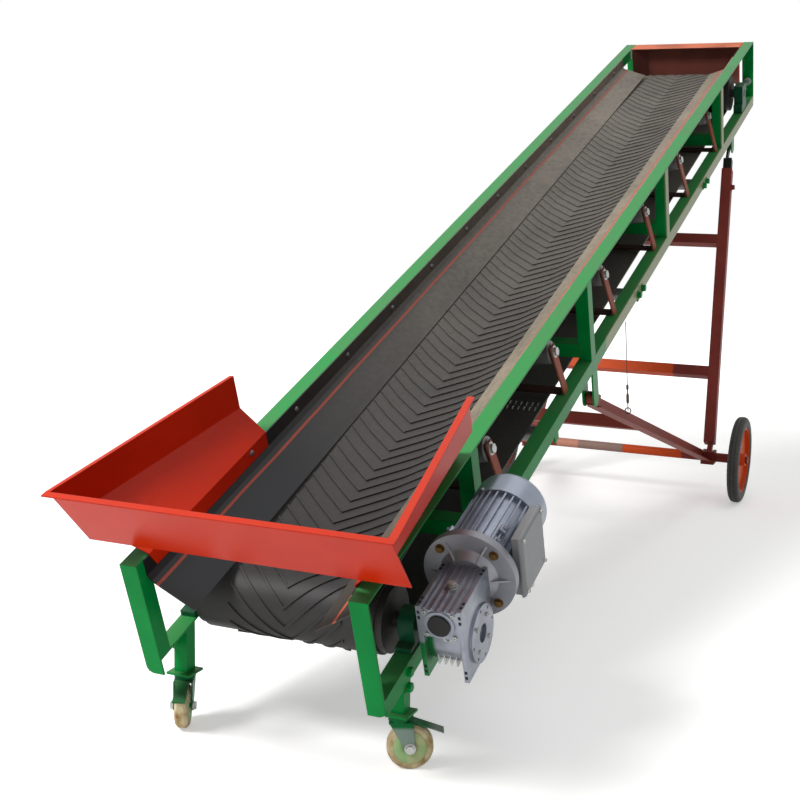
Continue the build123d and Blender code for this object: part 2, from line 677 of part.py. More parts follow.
# Rubber skirts: bolted inside the upper chords and bent in over the margins of the belt
for name, side in SIDES.items():
    with BuildPart() as skirt:
        for along in (SKIRT_START, SKIRT_END):
            belt_top = line_depth(along) - BELT_OUTSIDE
            tip_depth = belt_top - (SKIRT_TIP_ACROSS - TROUGH_FLAT / 2) * tan(WING) - SKIRT_BELT_GAP
            knee_depth = SKIRT_STRAIGHT + SKIRT_KNEE_SHARE * (tip_depth - SKIRT_STRAIGHT)
            lower_face = (
                (INNER, 0),
                (INNER, -SKIRT_STRAIGHT),
                (SKIRT_KNEE_ACROSS, -knee_depth),
                (SKIRT_TIP_ACROSS, -tip_depth),
            )
            outline = sheet_outline(lower_face, -SKIRT_THICKNESS)
            with BuildSketch(cross_plane(along)):
                with BuildLine():
                    Polyline(*[(side * point.X, point.Y) for point in outline], close=True)
                make_face()
        loft(ruled=True)
    save(skirt, f"skirt_{name}")

# Feed hopper sides: flange, wall, sloping plate and an inner strip lapped on the skirt
PANEL_RUN = HOPPER_FOOT_PLACE - HOPPER_FRONT
PANEL_DROP = HOPPER_HEIGHT_FRONT - HOPPER_FOOT_HEIGHT
PANEL_HEIGHT = hypot(PANEL_RUN, PANEL_DROP)
PANEL_INWARDS = UPHILL * (PANEL_DROP / PANEL_HEIGHT) + DECK_UP * (PANEL_RUN / PANEL_HEIGHT)
PANEL = Plane(origin=deck_point(HOPPER_FRONT, 0, -HOPPER_HEIGHT_FRONT), x_dir=LEFT, z_dir=PANEL_INWARDS)
STRIP_FACE = INNER - SKIRT_THICKNESS - HOPPER_SHEET
for name, side in SIDES.items():
    with BuildPart() as hopper_side:
        for along, rim_half, rim_height, bend_height in (
            (HOPPER_FRONT, HOPPER_RIM[name], HOPPER_HEIGHT_FRONT, HOPPER_BEND_FRONT[name]),
            (HOPPER_END, HOPPER_RIM_END, HOPPER_HEIGHT_END, HOPPER_BEND_END),
        ):
            inner_face = (
                (rim_half + HOPPER_SIDE_FLANGE[name], rim_height),
                (rim_half, rim_height),
                (rim_half, bend_height),
                (STRIP_FACE, HOPPER_LIP_HEIGHT),
                (STRIP_FACE, -HOPPER_STRIP_DEPTH),
            )
            outline = sheet_outline(inner_face, HOPPER_SHEET)
            with BuildSketch(cross_plane(along)):
                with BuildLine():
                    Polyline(*[(side * point.X, point.Y) for point in outline], close=True)
                make_face()
        loft(ruled=True)
        split(bisect_by=PANEL, keep=Keep.TOP)
    save(hopper_side, f"hopper_{name}")

# Hopper front panel with its own flange
HOPPER_FOOT_HALF = HALF_WIDTH + HOPPER_FOOT_OVERHANG
with BuildPart(DECK) as hopper_front:
    with BuildSketch(PANEL):
        with BuildLine():
            Polyline(
                (-HOPPER_RIM["right"] - HOPPER_SHEET, 0),
                (HOPPER_RIM["left"] + HOPPER_SHEET, 0),
                (HOPPER_FOOT_HALF + HOPPER_SHEET, -PANEL_HEIGHT),
                (-HOPPER_FOOT_HALF - HOPPER_SHEET, -PANEL_HEIGHT),
                close=True,
            )
        make_face()
    extrude(amount=-HOPPER_SHEET)
    deck_box(
        (HOPPER_FRONT - HOPPER_FLANGE, HOPPER_FRONT),
        [side * (HOPPER_RIM[name] + HOPPER_SIDE_FLANGE[name]) for name, side in SIDES.items()],
        (-HOPPER_HEIGHT_FRONT, HOPPER_SHEET - HOPPER_HEIGHT_FRONT),
    )
save(hopper_front, "hopper_front")

# Discharge baffle: a top flange between the chords and a folded plate hanging from it
BAFFLE_START = CHORD_LENGTH - BAFFLE_REACH
BAFFLE_FACE = CHORD_LENGTH - ANGLE_WALL - BAFFLE_SHEET
BAFFLE_EDGE_HALF = INNER - BAFFLE_EDGE_INSET
BAFFLE_FLAT_HALF = INNER - BAFFLE_FLAT_INSET
with BuildPart(DECK) as discharge_baffle:
    deck_box((BAFFLE_START, CHORD_LENGTH - ANGLE_WALL), (-INNER, INNER), (0, BAFFLE_SHEET))
    face = (
        (BAFFLE_START, -BAFFLE_EDGE_HALF),
        (BAFFLE_FACE, -BAFFLE_FLAT_HALF),
        (BAFFLE_FACE, BAFFLE_FLAT_HALF),
        (BAFFLE_START, BAFFLE_EDGE_HALF),
    )
    with BuildSketch(DECK):
        with BuildLine():
            Polyline(*[(point.X, point.Y) for point in sheet_outline(face, BAFFLE_SHEET)], close=True)
        make_face()
    extrude(amount=BAFFLE_LIFT - LOWER_TOP)
save(discharge_baffle, "discharge_baffle")

# Gearbox housing: two side plates, a block around the worm, a finned drum around the wheel, and hub discs
GEARBOX_OUTER = GEARBOX_MIDDLE - GEARBOX_WIDTH / 2
HUB_OUTER = GEARBOX_OUTER - HUB_DISC_THICKNESS
GEARBOX_START = DRIVE_DRUM_PLACE - GEARBOX_FRONT
GEARBOX_END = DRIVE_DRUM_PLACE + GEARBOX_BACK
WORM_DEPTH = DRIVE_DRUM_DEPTH - WORM_OFFSET
GEARBOX_TOP = WORM_DEPTH - GEARBOX_HEAD
GEARBOX_BOTTOM = DRIVE_DRUM_DEPTH + GEARBOX_FOOT
FIN_PITCH = (GEARBOX_WIDTH - GEARBOX_PLATE) / (GEARBOX_FINS + 1)
with BuildPart(DECK) as gearbox_housing:
    for plate_side in (GEARBOX_INNER, GEARBOX_OUTER + GEARBOX_PLATE):
        with BuildSketch(side_plane(plate_side)):
            with BuildLine():
                Polyline(
                    (GEARBOX_START, -GEARBOX_TOP),
                    (GEARBOX_END, -GEARBOX_TOP),
                    (GEARBOX_END, GEARBOX_CHAMFER - GEARBOX_BOTTOM),
                    (GEARBOX_END - GEARBOX_CHAMFER, -GEARBOX_BOTTOM),
                    (GEARBOX_START, -GEARBOX_BOTTOM),
                    close=True,
                )
            make_face()
        extrude(amount=GEARBOX_PLATE)
    deck_box(
        (GEARBOX_START, GEARBOX_END),
        (GEARBOX_INNER, GEARBOX_OUTER),
        (WORM_DEPTH - WORM_BLOCK_HALF, WORM_DEPTH + WORM_BLOCK_HALF),
    )
    with BuildSketch(side_plane(GEARBOX_INNER)):
        with Locations((DRIVE_DRUM_PLACE, -DRIVE_DRUM_DEPTH)):
            Circle(WHEEL_CASE_RADIUS)
    extrude(amount=GEARBOX_WIDTH)
    for index in range(GEARBOX_FINS):
        fin_side = GEARBOX_INNER - GEARBOX_PLATE / 2 - FIN_PITCH * (index + 1) + GEARBOX_FIN_THICKNESS / 2
        with BuildSketch(side_plane(fin_side)):
            with Locations((DRIVE_DRUM_PLACE, -DRIVE_DRUM_DEPTH)):
                Circle(GEARBOX_FIN_RADIUS)
        extrude(amount=GEARBOX_FIN_THICKNESS)
        deck_box(
            (GEARBOX_START, GEARBOX_END),
            (fin_side - GEARBOX_FIN_THICKNESS, fin_side),
            (GEARBOX_TOP, WORM_DEPTH),
        )
    with BuildSketch(side_plane(HUB_INNER)):
        with Locations((DRIVE_DRUM_PLACE, -DRIVE_DRUM_DEPTH)):
            Circle(HUB_DISC_RADIUS)
    extrude(amount=HUB_INNER - HUB_OUTER)
    with BuildSketch(cross_plane(GEARBOX_START)):
        with Locations((GEARBOX_MIDDLE, -WORM_DEPTH)):
            Circle(CAP_BOSS_RADIUS)
    extrude(amount=-CAP_BOSS_HEIGHT)
    with BuildSketch(side_plane(HUB_OUTER + HUB_HOLE_DEPTH)):
        with Locations((DRIVE_DRUM_PLACE, -DRIVE_DRUM_DEPTH)):
            Circle(HUB_BORE_RADIUS)
            with PolarLocations(HUB_BOLT_CIRCLE / 2, HUB_HOLES):
                Circle(HUB_HOLE_RADIUS)
    extrude(amount=HUB_HOLE_DEPTH, mode=Mode.SUBTRACT)
save(gearbox_housing, "gearbox_housing")

# Round cap over the worm's free end
with BuildPart() as gearbox_cap:
    with BuildSketch(cross_plane(GEARBOX_START - CAP_BOSS_HEIGHT)):
        with Locations((GEARBOX_MIDDLE, -WORM_DEPTH)):
            Circle(CAP_RADIUS)
    extrude(amount=-CAP_THICKNESS)
save(gearbox_cap, "gearbox_cap")

# Motor: ribbed mounting flange, finned body and fan cover in line with the worm
FLANGE_START = GEARBOX_END + FLANGE_NECK_LENGTH
MOTOR_START = FLANGE_START + FLANGE_THICKNESS
MOTOR_END = MOTOR_START + MOTOR_LENGTH
with BuildPart() as motor_flange:
    for along, radius in ((GEARBOX_END, FLANGE_NECK_RADIUS), (FLANGE_START, FLANGE_HUB_RADIUS)):
        with BuildSketch(cross_plane(along)):
            with Locations((GEARBOX_MIDDLE, -WORM_DEPTH)):
                Circle(radius)
    loft()
    with BuildSketch(cross_plane(FLANGE_START)):
        with Locations((GEARBOX_MIDDLE, -WORM_DEPTH)):
            Circle(FLANGE_RADIUS)
    extrude(amount=FLANGE_THICKNESS)
    for index in range(FLANGE_RIBS):
        turn = radians(360 * index / FLANGE_RIBS)
        outwards = LEFT * cos(turn) + DECK_UP * sin(turn)
        rib_plane = Plane(
            origin=deck_point(GEARBOX_END, GEARBOX_MIDDLE, WORM_DEPTH),
            x_dir=UPHILL,
            z_dir=UPHILL.cross(outwards),
        )
        with BuildSketch(rib_plane):
            with BuildLine():
                Polyline(
                    (0, 0),
                    (FLANGE_NECK_LENGTH, 0),
                    (FLANGE_NECK_LENGTH, FLANGE_RADIUS - FLANGE_RIB_INSET),
                    (0, FLANGE_NECK_RADIUS),
                    close=True,
                )
            make_face()
        extrude(amount=FLANGE_RIB_THICKNESS / 2, both=True)
save(motor_flange, "motor_flange")

with BuildPart() as motor_body:
    with BuildSketch(cross_plane(MOTOR_START)):
        with Locations((GEARBOX_MIDDLE, -WORM_DEPTH)):
            Circle(MOTOR_CORE_RADIUS)
            with PolarLocations(MOTOR_FIN_RADIUS / 2, MOTOR_FINS):
                Rectangle(MOTOR_FIN_RADIUS, MOTOR_FIN_THICKNESS)
    extrude(amount=MOTOR_LENGTH)
save(motor_body, "motor_body")

with BuildPart() as fan_cover:
    with BuildSketch(cross_plane(MOTOR_END)):
        with Locations((GEARBOX_MIDDLE, -WORM_DEPTH)):
            Circle(FAN_COVER_RADIUS)
    extrude(amount=FAN_COVER_LENGTH)
    fillet(fan_cover.edges().sort_by(Axis(FEED, UPHILL))[-1], radius=FAN_COVER_FILLET)
save(fan_cover, "fan_cover")

# Terminal box on the motor's outer side, with a lid lipped over it
BOX_START = MOTOR_START + BOX_SETBACK
BOX_END = BOX_START + BOX_LENGTH
BOX_TOP = WORM_DEPTH - BOX_ABOVE
BOX_BOTTOM = WORM_DEPTH + BOX_BELOW
with BuildPart(DECK) as terminal_box:
    motor_side = GEARBOX_MIDDLE - MOTOR_FIN_RADIUS
    box_inner = motor_side - BOX_STAND_OFF
    box_outer = box_inner - BOX_THICKNESS
    deck_box((BOX_START, BOX_END), (box_outer, box_outer + BOX_LID), (BOX_TOP, BOX_BOTTOM))
    fillet(terminal_box.faces().sort_by(Axis.Y)[0].edges(), radius=BOX_FILLET)
    for inset, inner, outer in (
        (BOX_LID_LIP, box_inner, box_outer + BOX_LID),
        (BOX_PEDESTAL_INSET, motor_side, box_inner),
    ):
        deck_box((BOX_START + inset, BOX_END - inset), (outer, inner), (BOX_TOP + inset, BOX_BOTTOM - inset))
save(terminal_box, "terminal_box")

# Castor legs: square tube up to the lower chord, a mounting plate and the king pin
CASTOR_X = FEED.X + CASTOR_PLACE
HEAD_TOP = CASTOR_HEIGHT - CASTOR_PLATE_THICKNESS - CASTOR_HEAD_GAP
CROWN_UNDER = 2 * CASTOR_WHEEL_RADIUS + CASTOR_WHEEL_GAP
CROWN_TOP = CROWN_UNDER + CASTOR_CROWN_THICKNESS
CASTOR_LEG_BORE = CASTOR_LEG - 2 * CASTOR_LEG_WALL
with BuildPart() as castor_legs:
    for side in SIDES.values():
        with BuildSketch(Plane.XY.offset(CASTOR_HEIGHT)):
            with Locations((CASTOR_X, side * CASTOR_ACROSS)):
                Rectangle(CASTOR_LEG, CASTOR_LEG)
                Rectangle(CASTOR_LEG_BORE, CASTOR_LEG_BORE, mode=Mode.SUBTRACT)
        extrude(amount=FEED_HEIGHT)
    split(bisect_by=DECK.offset(-LOWER_UNDER), keep=Keep.BOTTOM)
    for side in SIDES.values():
        with BuildSketch(Plane.XY.offset(CASTOR_HEIGHT)):
            with Locations((CASTOR_X, side * CASTOR_ACROSS)):
                Rectangle(CASTOR_PLATE, CASTOR_PLATE)
        extrude(amount=-CASTOR_PLATE_THICKNESS)
        with BuildSketch(Plane.XY.offset(CASTOR_HEIGHT)):
            with Locations((CASTOR_X, side * CASTOR_ACROSS)):
                Circle(CASTOR_KING_RADIUS)
        extrude(amount=CROWN_UNDER - CASTOR_HEIGHT)
save(castor_legs, "castor_legs")

# Castor forks, each turned its own way, with a brake pedal plate; and their wheels
FORK_INNER = CASTOR_WHEEL_WIDTH / 2 + CASTOR_WHEEL_GAP
FORK_OUTER = FORK_INNER + CASTOR_FORK_WALL
for name, side in SIDES.items():
    heading = radians(CASTOR_HEADINGS[name])
    trail = Vector(cos(heading), sin(heading), 0)
    crosswise = Vector(sin(heading), -cos(heading), 0)
    foot = Vector(CASTOR_X, side * CASTOR_ACROSS, 0)
    with BuildPart(Plane(origin=foot, x_dir=trail, z_dir=UP)) as castor_fork:
        with Locations((0, 0, CROWN_TOP)):
            Cylinder(CASTOR_HEAD_RADIUS, HEAD_TOP - CROWN_TOP, align=(Align.CENTER, Align.CENTER, Align.MIN))
        with Locations(((CASTOR_CROWN_BACK + CASTOR_CROWN_FRONT) / 2, 0, (CROWN_UNDER + CROWN_TOP) / 2)):
            Box(CASTOR_CROWN_FRONT - CASTOR_CROWN_BACK, 2 * FORK_OUTER, CASTOR_CROWN_THICKNESS)
        with BuildSketch(Plane(origin=foot - crosswise * (PEDAL_WIDTH / 2), x_dir=trail, z_dir=crosswise)):
            with BuildLine():
                Polyline(
                    (CASTOR_CROWN_BACK, CROWN_UNDER),
                    (CASTOR_CROWN_FRONT, CROWN_UNDER),
                    (PEDAL_END, CROWN_UNDER - PEDAL_DROP),
                    (PEDAL_END, CROWN_TOP - PEDAL_DROP),
                    (CASTOR_CROWN_FRONT, CROWN_TOP),
                    (CASTOR_CROWN_BACK, CROWN_TOP),
                    close=True,
                )
            make_face()
        extrude(amount=PEDAL_WIDTH)
        for wall_start in (-FORK_OUTER, FORK_INNER):
            with BuildSketch(Plane(origin=foot + crosswise * wall_start, x_dir=trail, z_dir=crosswise)):
                with BuildLine():
                    Polyline(
                        (CASTOR_CROWN_BACK, CROWN_TOP),
                        (CASTOR_TRAIL - CASTOR_EYE_RADIUS, CASTOR_WHEEL_RADIUS),
                        (CASTOR_TRAIL + CASTOR_EYE_RADIUS, CASTOR_WHEEL_RADIUS),
                        (CASTOR_CROWN_FRONT, CROWN_TOP),
                        close=True,
                    )
                make_face()
                with Locations((CASTOR_TRAIL, CASTOR_WHEEL_RADIUS)):
                    Circle(CASTOR_EYE_RADIUS)
            extrude(amount=CASTOR_FORK_WALL)
        with BuildSketch(Plane(origin=foot - crosswise * FORK_OUTER, x_dir=trail, z_dir=crosswise)):
            with Locations((CASTOR_TRAIL, CASTOR_WHEEL_RADIUS)):
                Circle(CASTOR_AXLE_RADIUS)
        extrude(amount=2 * FORK_OUTER)
        with Locations((0, 0, HEAD_TOP)):
            Hole(CASTOR_KING_RADIUS + CASTOR_FIT, depth=HEAD_TOP - CROWN_UNDER)
    save(castor_fork, f"castor_fork_{name}")

    tread_plane = Plane(origin=foot - crosswise * (CASTOR_WHEEL_WIDTH / 2), x_dir=trail, z_dir=crosswise)
    with BuildPart() as castor_wheel:
        with BuildSketch(tread_plane):
            with Locations((CASTOR_TRAIL, CASTOR_WHEEL_RADIUS)):
                Circle(CASTOR_WHEEL_RADIUS)
        extrude(amount=CASTOR_WHEEL_WIDTH)
        chamfer(castor_wheel.edges().filter_by(GeomType.CIRCLE), length=CASTOR_WHEEL_CHAMFER)
        with BuildSketch(tread_plane):
            with Locations((CASTOR_TRAIL, CASTOR_WHEEL_RADIUS)):
                Circle(CASTOR_AXLE_RADIUS + CASTOR_FIT)
        extrude(amount=CASTOR_WHEEL_WIDTH, mode=Mode.SUBTRACT)
    save(castor_wheel, f"castor_wheel_{name}")

# Places of the support's three pivots, and the planes of its braces and legs
LUG_REACH = BRACE_SLEEVE_LENGTH / 2 + LUG_GAP
BRACE_PIVOT_ACROSS = OUTER_WEB - LUG_PLATE - LUG_REACH
BRACE_PIVOT = deck_point(BRACE_PIVOT_PLACE, 0, BRACE_PIVOT_DEPTH)
LEG_PIN = deck_point(LEG_PIN_PLACE, 0, LEG_PIN_DEPTH)
AXLE = Vector(LEG_PIN.X - LEG_LEAN, 0, WHEEL_RADIUS)
BRACE_ALONG = AXLE - BRACE_PIVOT
LEG_ALONG = LEG_PIN - AXLE


def upright_plane(middle, along, across):
    """Upright plane facing right at a place across; local x points along the given direction."""
    return Plane(origin=middle + LEFT * across, x_dir=Vector(along.X, 0, along.Z), z_dir=RIGHT)


def member_plane(start, end, distance):
    """Plane square to a member at a distance from its start; local x lies towards the left."""
    along = (end - start).normalized()
    sideways = LEFT - along * along.dot(LEFT)
    return Plane(origin=start + along * distance, x_dir=sideways, z_dir=along)


def inner_face(start, end, side, half):
    """Plane of a member's inner face, half its width in from its axis; it faces the middle."""
    section = member_plane(start, end, 0)
    inwards = section.x_dir * -side
    return Plane(origin=section.origin + inwards * half, x_dir=section.z_dir, z_dir=inwards)


def brace_ends(side):
    """Pivot and knuckle ends of a brace's axis."""
    return BRACE_PIVOT + LEFT * (side * BRACE_PIVOT_ACROSS), AXLE + LEFT * (side * KNUCKLE_ACROSS)


def leg_ends(side):
    """Axle and pin ends of a leg's axis."""
    return AXLE + LEFT * (side * KNUCKLE_ACROSS), LEG_PIN + LEFT * (side * LEG_PIN_ACROSS)


LEG_LENGTH = (leg_ends(1)[1] - leg_ends(1)[0]).length

# Pivot lugs hang from the lower chords, two plates and a pin for each brace
with BuildPart(DECK) as pivot_lugs:
    for side in SIDES.values():
        for inner_edge in (BRACE_PIVOT_ACROSS - LUG_REACH - LUG_PLATE, BRACE_PIVOT_ACROSS + LUG_REACH):
            deck_box(
                (BRACE_PIVOT_PLACE - LUG_WIDTH / 2, BRACE_PIVOT_PLACE + LUG_WIDTH / 2),
                (side * inner_edge, side * (inner_edge + LUG_PLATE)),
                (LOWER_UNDER, BRACE_PIVOT_DEPTH),
            )
            with BuildSketch(side_plane(side * inner_edge)):
                with Locations((BRACE_PIVOT_PLACE, -BRACE_PIVOT_DEPTH)):
                    Circle(LUG_WIDTH / 2)
            extrude(amount=-side * LUG_PLATE)
        with BuildSketch(side_plane(side * OUTER_WEB)):
            with Locations((BRACE_PIVOT_PLACE, -BRACE_PIVOT_DEPTH)):
                Circle(PIN_RADIUS)
        extrude(amount=side * 2 * (LUG_REACH + LUG_PLATE))
save(pivot_lugs, "pivot_lugs")

# Top lugs: one plate inside each lower chord's web, with a pin pointing inwards
with BuildPart(DECK) as top_lugs:
    for side in SIDES.values():
        deck_box(
            (LEG_PIN_PLACE - LUG_WIDTH / 2, LEG_PIN_PLACE + LUG_WIDTH / 2),
            (side * (OUTER_WEB - ANGLE_WALL), side * OUTER_WEB),
            (LOWER_UNDER, LEG_PIN_DEPTH),
        )
        with BuildSketch(side_plane(side * OUTER_WEB)):
            with Locations((LEG_PIN_PLACE, -LEG_PIN_DEPTH)):
                Circle(LUG_WIDTH / 2)
        extrude(amount=side * ANGLE_WALL)
        with BuildSketch(side_plane(side * OUTER_WEB)):
            with Locations((LEG_PIN_PLACE, -LEG_PIN_DEPTH)):
                Circle(PIN_RADIUS)
        extrude(amount=side * (OUTER_WEB - LEG_PIN_ACROSS + LEG_PIN_STUB))
save(top_lugs, "top_lugs")

# Axle: a tube with a knuckle near each end, stubs for the wheels and their nuts
CHEEK_OFFSET = (KNUCKLE_WIDTH - KNUCKLE_CHEEK) / 2
STUB_SHOULDER = WHEEL_ACROSS - WHEEL_HUB_WIDTH / 2 - STUB_SHOULDER_GAP
NUT_INNER = WHEEL_ACROSS + WHEEL_HUB_WIDTH / 2 + NUT_GAP
AXLE_END = NUT_INNER + NUT_THICKNESS
with BuildPart(Plane(origin=AXLE, x_dir=(1, 0, 0), z_dir=UP)) as axle:
    for radius, half_length in ((AXLE_RADIUS, STUB_SHOULDER), (STUB_RADIUS, AXLE_END)):
        with BuildSketch(Plane(origin=AXLE + LEFT * half_length, x_dir=(1, 0, 0), z_dir=RIGHT)):
            Circle(radius)
        extrude(amount=2 * half_length)
    for side in SIDES.values():
        with BuildSketch(Plane(origin=AXLE + LEFT * (side * NUT_INNER), x_dir=(1, 0, 0), z_dir=RIGHT)):
            RegularPolygon(NUT_RADIUS, 6)
        extrude(amount=-side * NUT_THICKNESS)
        for cheek in (CHEEK_OFFSET, -CHEEK_OFFSET):
            with Locations(((KNUCKLE_HALF - KNUCKLE_FRONT) / 2, side * KNUCKLE_ACROSS + cheek, 0)):
                Box(KNUCKLE_HALF + KNUCKLE_FRONT, KNUCKLE_CHEEK, 2 * KNUCKLE_HALF)
        with Locations((KNUCKLE_PLATE / 2 - KNUCKLE_FRONT, side * KNUCKLE_ACROSS, 0)):
            Box(KNUCKLE_PLATE, KNUCKLE_WIDTH, 2 * KNUCKLE_HALF)
save(axle, "axle")

# Braces: angle iron from the pivot sleeves, spread out to the knuckles on the axle
with BuildPart() as braces:
    for side in SIDES.values():
        start, end = brace_ends(side)
        edge = side * BRACE_ANGLE / 2
        web_edge = edge - side * BRACE_WALL
        floor_edge = BRACE_WALL - BRACE_ANGLE / 2
        with BuildSketch(member_plane(start, end, BRACE_START)):
            with BuildLine():
                Polyline(
                    (-edge, -BRACE_ANGLE / 2),
                    (edge, -BRACE_ANGLE / 2),
                    (edge, floor_edge),
                    (-web_edge, floor_edge),
                    (-web_edge, BRACE_ANGLE / 2),
                    (-edge, BRACE_ANGLE / 2),
                    close=True,
                )
            make_face()
        extrude(amount=(end - start).length - BRACE_START)
    knuckle_face = Plane(origin=AXLE - Vector(KNUCKLE_FRONT, 0, 0), x_dir=LEFT, z_dir=(-1, 0, 0))
    split(bisect_by=knuckle_face, keep=Keep.TOP)
    for side in SIDES.values():
        across = side * BRACE_PIVOT_ACROSS + BRACE_SLEEVE_LENGTH / 2
        with BuildSketch(upright_plane(BRACE_PIVOT, BRACE_ALONG, across)):
            Circle(BRACE_SLEEVE_RADIUS)
            with Locations((BRACE_NECK_END / 2, 0)):
                Rectangle(BRACE_NECK_END, BRACE_ANGLE)
        extrude(amount=BRACE_SLEEVE_LENGTH)
        with BuildSketch(upright_plane(BRACE_PIVOT, BRACE_ALONG, across)):
            Circle(PIN_RADIUS + PIN_FIT)
        extrude(amount=BRACE_SLEEVE_LENGTH, mode=Mode.SUBTRACT)
save(braces, "braces")

# A tie of angle iron holds the braces apart
with BuildPart() as brace_tie:
    with BuildSketch(upright_plane(BRACE_PIVOT + BRACE_ALONG * BRACE_TIE_SHARE, BRACE_ALONG, KNUCKLE_ACROSS)):
        half = BRACE_ANGLE / 2
        with BuildLine():
            Polyline(
                (-half, -half),
                (half, -half),
                (half, BRACE_WALL - half),
                (BRACE_WALL - half, BRACE_WALL - half),
                (BRACE_WALL - half, half),
                (-half, half),
                close=True,
            )
        make_face()
    extrude(amount=2 * KNUCKLE_ACROSS)
    for side in SIDES.values():
        split(bisect_by=inner_face(*brace_ends(side), side, BRACE_ANGLE / 2), keep=Keep.TOP)
save(brace_tie, "brace_tie")

# Outer leg tubes turn on the axle by a flat foot between the knuckle's cheeks
LEG_BORE = LEG_TUBE - 2 * LEG_TUBE_WALL
with BuildPart() as leg_tubes:
    for side in SIDES.values():
        start, end = leg_ends(side)
        with BuildSketch(member_plane(start, end, LEG_TUBE_START)):
            Rectangle(LEG_TUBE, LEG_TUBE)
        extrude(amount=LEG_LENGTH * LEG_TUBE_SHARE - LEG_TUBE_START)
        foot_across = side * KNUCKLE_ACROSS + LEG_FOOT_THICKNESS / 2
        with BuildSketch(upright_plane(AXLE, LEG_ALONG, foot_across)):
            Circle(LEG_FOOT_RADIUS)
            with Locations((LEG_FOOT_TAIL / 2, 0)):
                Rectangle(LEG_FOOT_TAIL, LEG_FOOT_WIDTH)
        extrude(amount=LEG_FOOT_THICKNESS)
        with BuildSketch(upright_plane(AXLE, LEG_ALONG, foot_across)):
            Circle(AXLE_RADIUS + LEG_FOOT_FIT)
        extrude(amount=LEG_FOOT_THICKNESS, mode=Mode.SUBTRACT)
        with BuildSketch(member_plane(start, end, LEG_FOOT_TAIL)):
            Rectangle(LEG_BORE, LEG_BORE)
        extrude(amount=LEG_LENGTH * LEG_TUBE_SHARE - LEG_FOOT_TAIL, mode=Mode.SUBTRACT)
save(leg_tubes, "leg_tubes")

# Two ties of angle iron join the outer tubes
with BuildPart() as leg_ties:
    for share in LEG_TIE_SHARES:
        with BuildSketch(upright_plane(AXLE + LEG_ALONG * share, LEG_ALONG, KNUCKLE_ACROSS)):
            half = ANGLE_LEG / 2
            with BuildLine():
                Polyline(
                    (-half, half),
                    (half, half),
                    (half, half - ANGLE_WALL),
                    (ANGLE_WALL - half, half - ANGLE_WALL),
                    (ANGLE_WALL - half, -half),
                    (-half, -half),
                    close=True,
                )
            make_face()
        extrude(amount=2 * KNUCKLE_ACROSS)
    for side in SIDES.values():
        split(bisect_by=inner_face(*leg_ends(side), side, LEG_TUBE / 2), keep=Keep.TOP)
save(leg_ties, "leg_ties")

# Inner leg tubes slide in the outer ones and end in a flat eye on the top pin
LEG_INNER_TUBE = LEG_BORE - 2 * LEG_SLIDE_GAP
LEG_INNER_BORE = LEG_INNER_TUBE - 2 * LEG_TUBE_WALL
for name, side in SIDES.items():
    start, end = leg_ends(side)
    with BuildPart() as leg_inner:
        with BuildSketch(member_plane(start, end, LEG_INNER_START)):
            Rectangle(LEG_INNER_TUBE, LEG_INNER_TUBE)
            Rectangle(LEG_INNER_BORE, LEG_INNER_BORE, mode=Mode.SUBTRACT)
        extrude(amount=LEG_LENGTH - LEG_INNER_TOP_GAP - LEG_INNER_START)
        eye_across = side * LEG_PIN_ACROSS + LEG_EYE_THICKNESS / 2
        with BuildSketch(upright_plane(LEG_PIN, LEG_ALONG, eye_across)):
            Circle(LEG_EYE_RADIUS)
            with Locations((-LEG_EYE_TAIL / 2, 0)):
                Rectangle(LEG_EYE_TAIL, LEG_INNER_BORE + LEG_TUBE_WALL)
        extrude(amount=LEG_EYE_THICKNESS)
        with BuildSketch(upright_plane(LEG_PIN, LEG_ALONG, eye_across)):
            Circle(PIN_RADIUS + LEG_PIN_SLACK)
        extrude(amount=LEG_EYE_THICKNESS, mode=Mode.SUBTRACT)
    save(leg_inner, f"leg_inner_{name}")

# Main wheels: a plain tyre on a dished rim with a hub
for name, side in SIDES.items():
    hub_plane = Plane(origin=AXLE + LEFT * (side * WHEEL_ACROSS), x_dir=(1, 0, 0), z_dir=RIGHT)
    with BuildPart() as tyre:
        with BuildSketch(hub_plane):
            Circle(WHEEL_RADIUS)
            Circle(RIM_RADIUS + RIM_SEAT_GAP, mode=Mode.SUBTRACT)
        extrude(amount=TYRE_WIDTH / 2, both=True)
        chamfer(tyre.edges().filter_by(GeomType.CIRCLE).sort_by(SortBy.RADIUS)[-2:], length=TYRE_SHOULDER)
    save(tyre, f"tyre_{name}")

    with BuildPart() as rim:
        with BuildSketch(hub_plane):
            Circle(RIM_RADIUS)
            Circle(RIM_RADIUS - RIM_WALL, mode=Mode.SUBTRACT)
        extrude(amount=RIM_WIDTH / 2, both=True)
        with BuildSketch(hub_plane):
            Circle(RIM_RADIUS - RIM_WALL)
        extrude(amount=RIM_WEB / 2, both=True)
        with BuildSketch(hub_plane):
            Circle(WHEEL_HUB_RADIUS)
        extrude(amount=WHEEL_HUB_WIDTH / 2, both=True)
        with BuildSketch(hub_plane):
            Circle(STUB_RADIUS + STUB_FIT)
        extrude(amount=WHEEL_HUB_WIDTH / 2, both=True, mode=Mode.SUBTRACT)
    save(rim, f"rim_{name}")
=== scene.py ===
import bmesh
import bpy
import numpy as np
from mathutils import Matrix


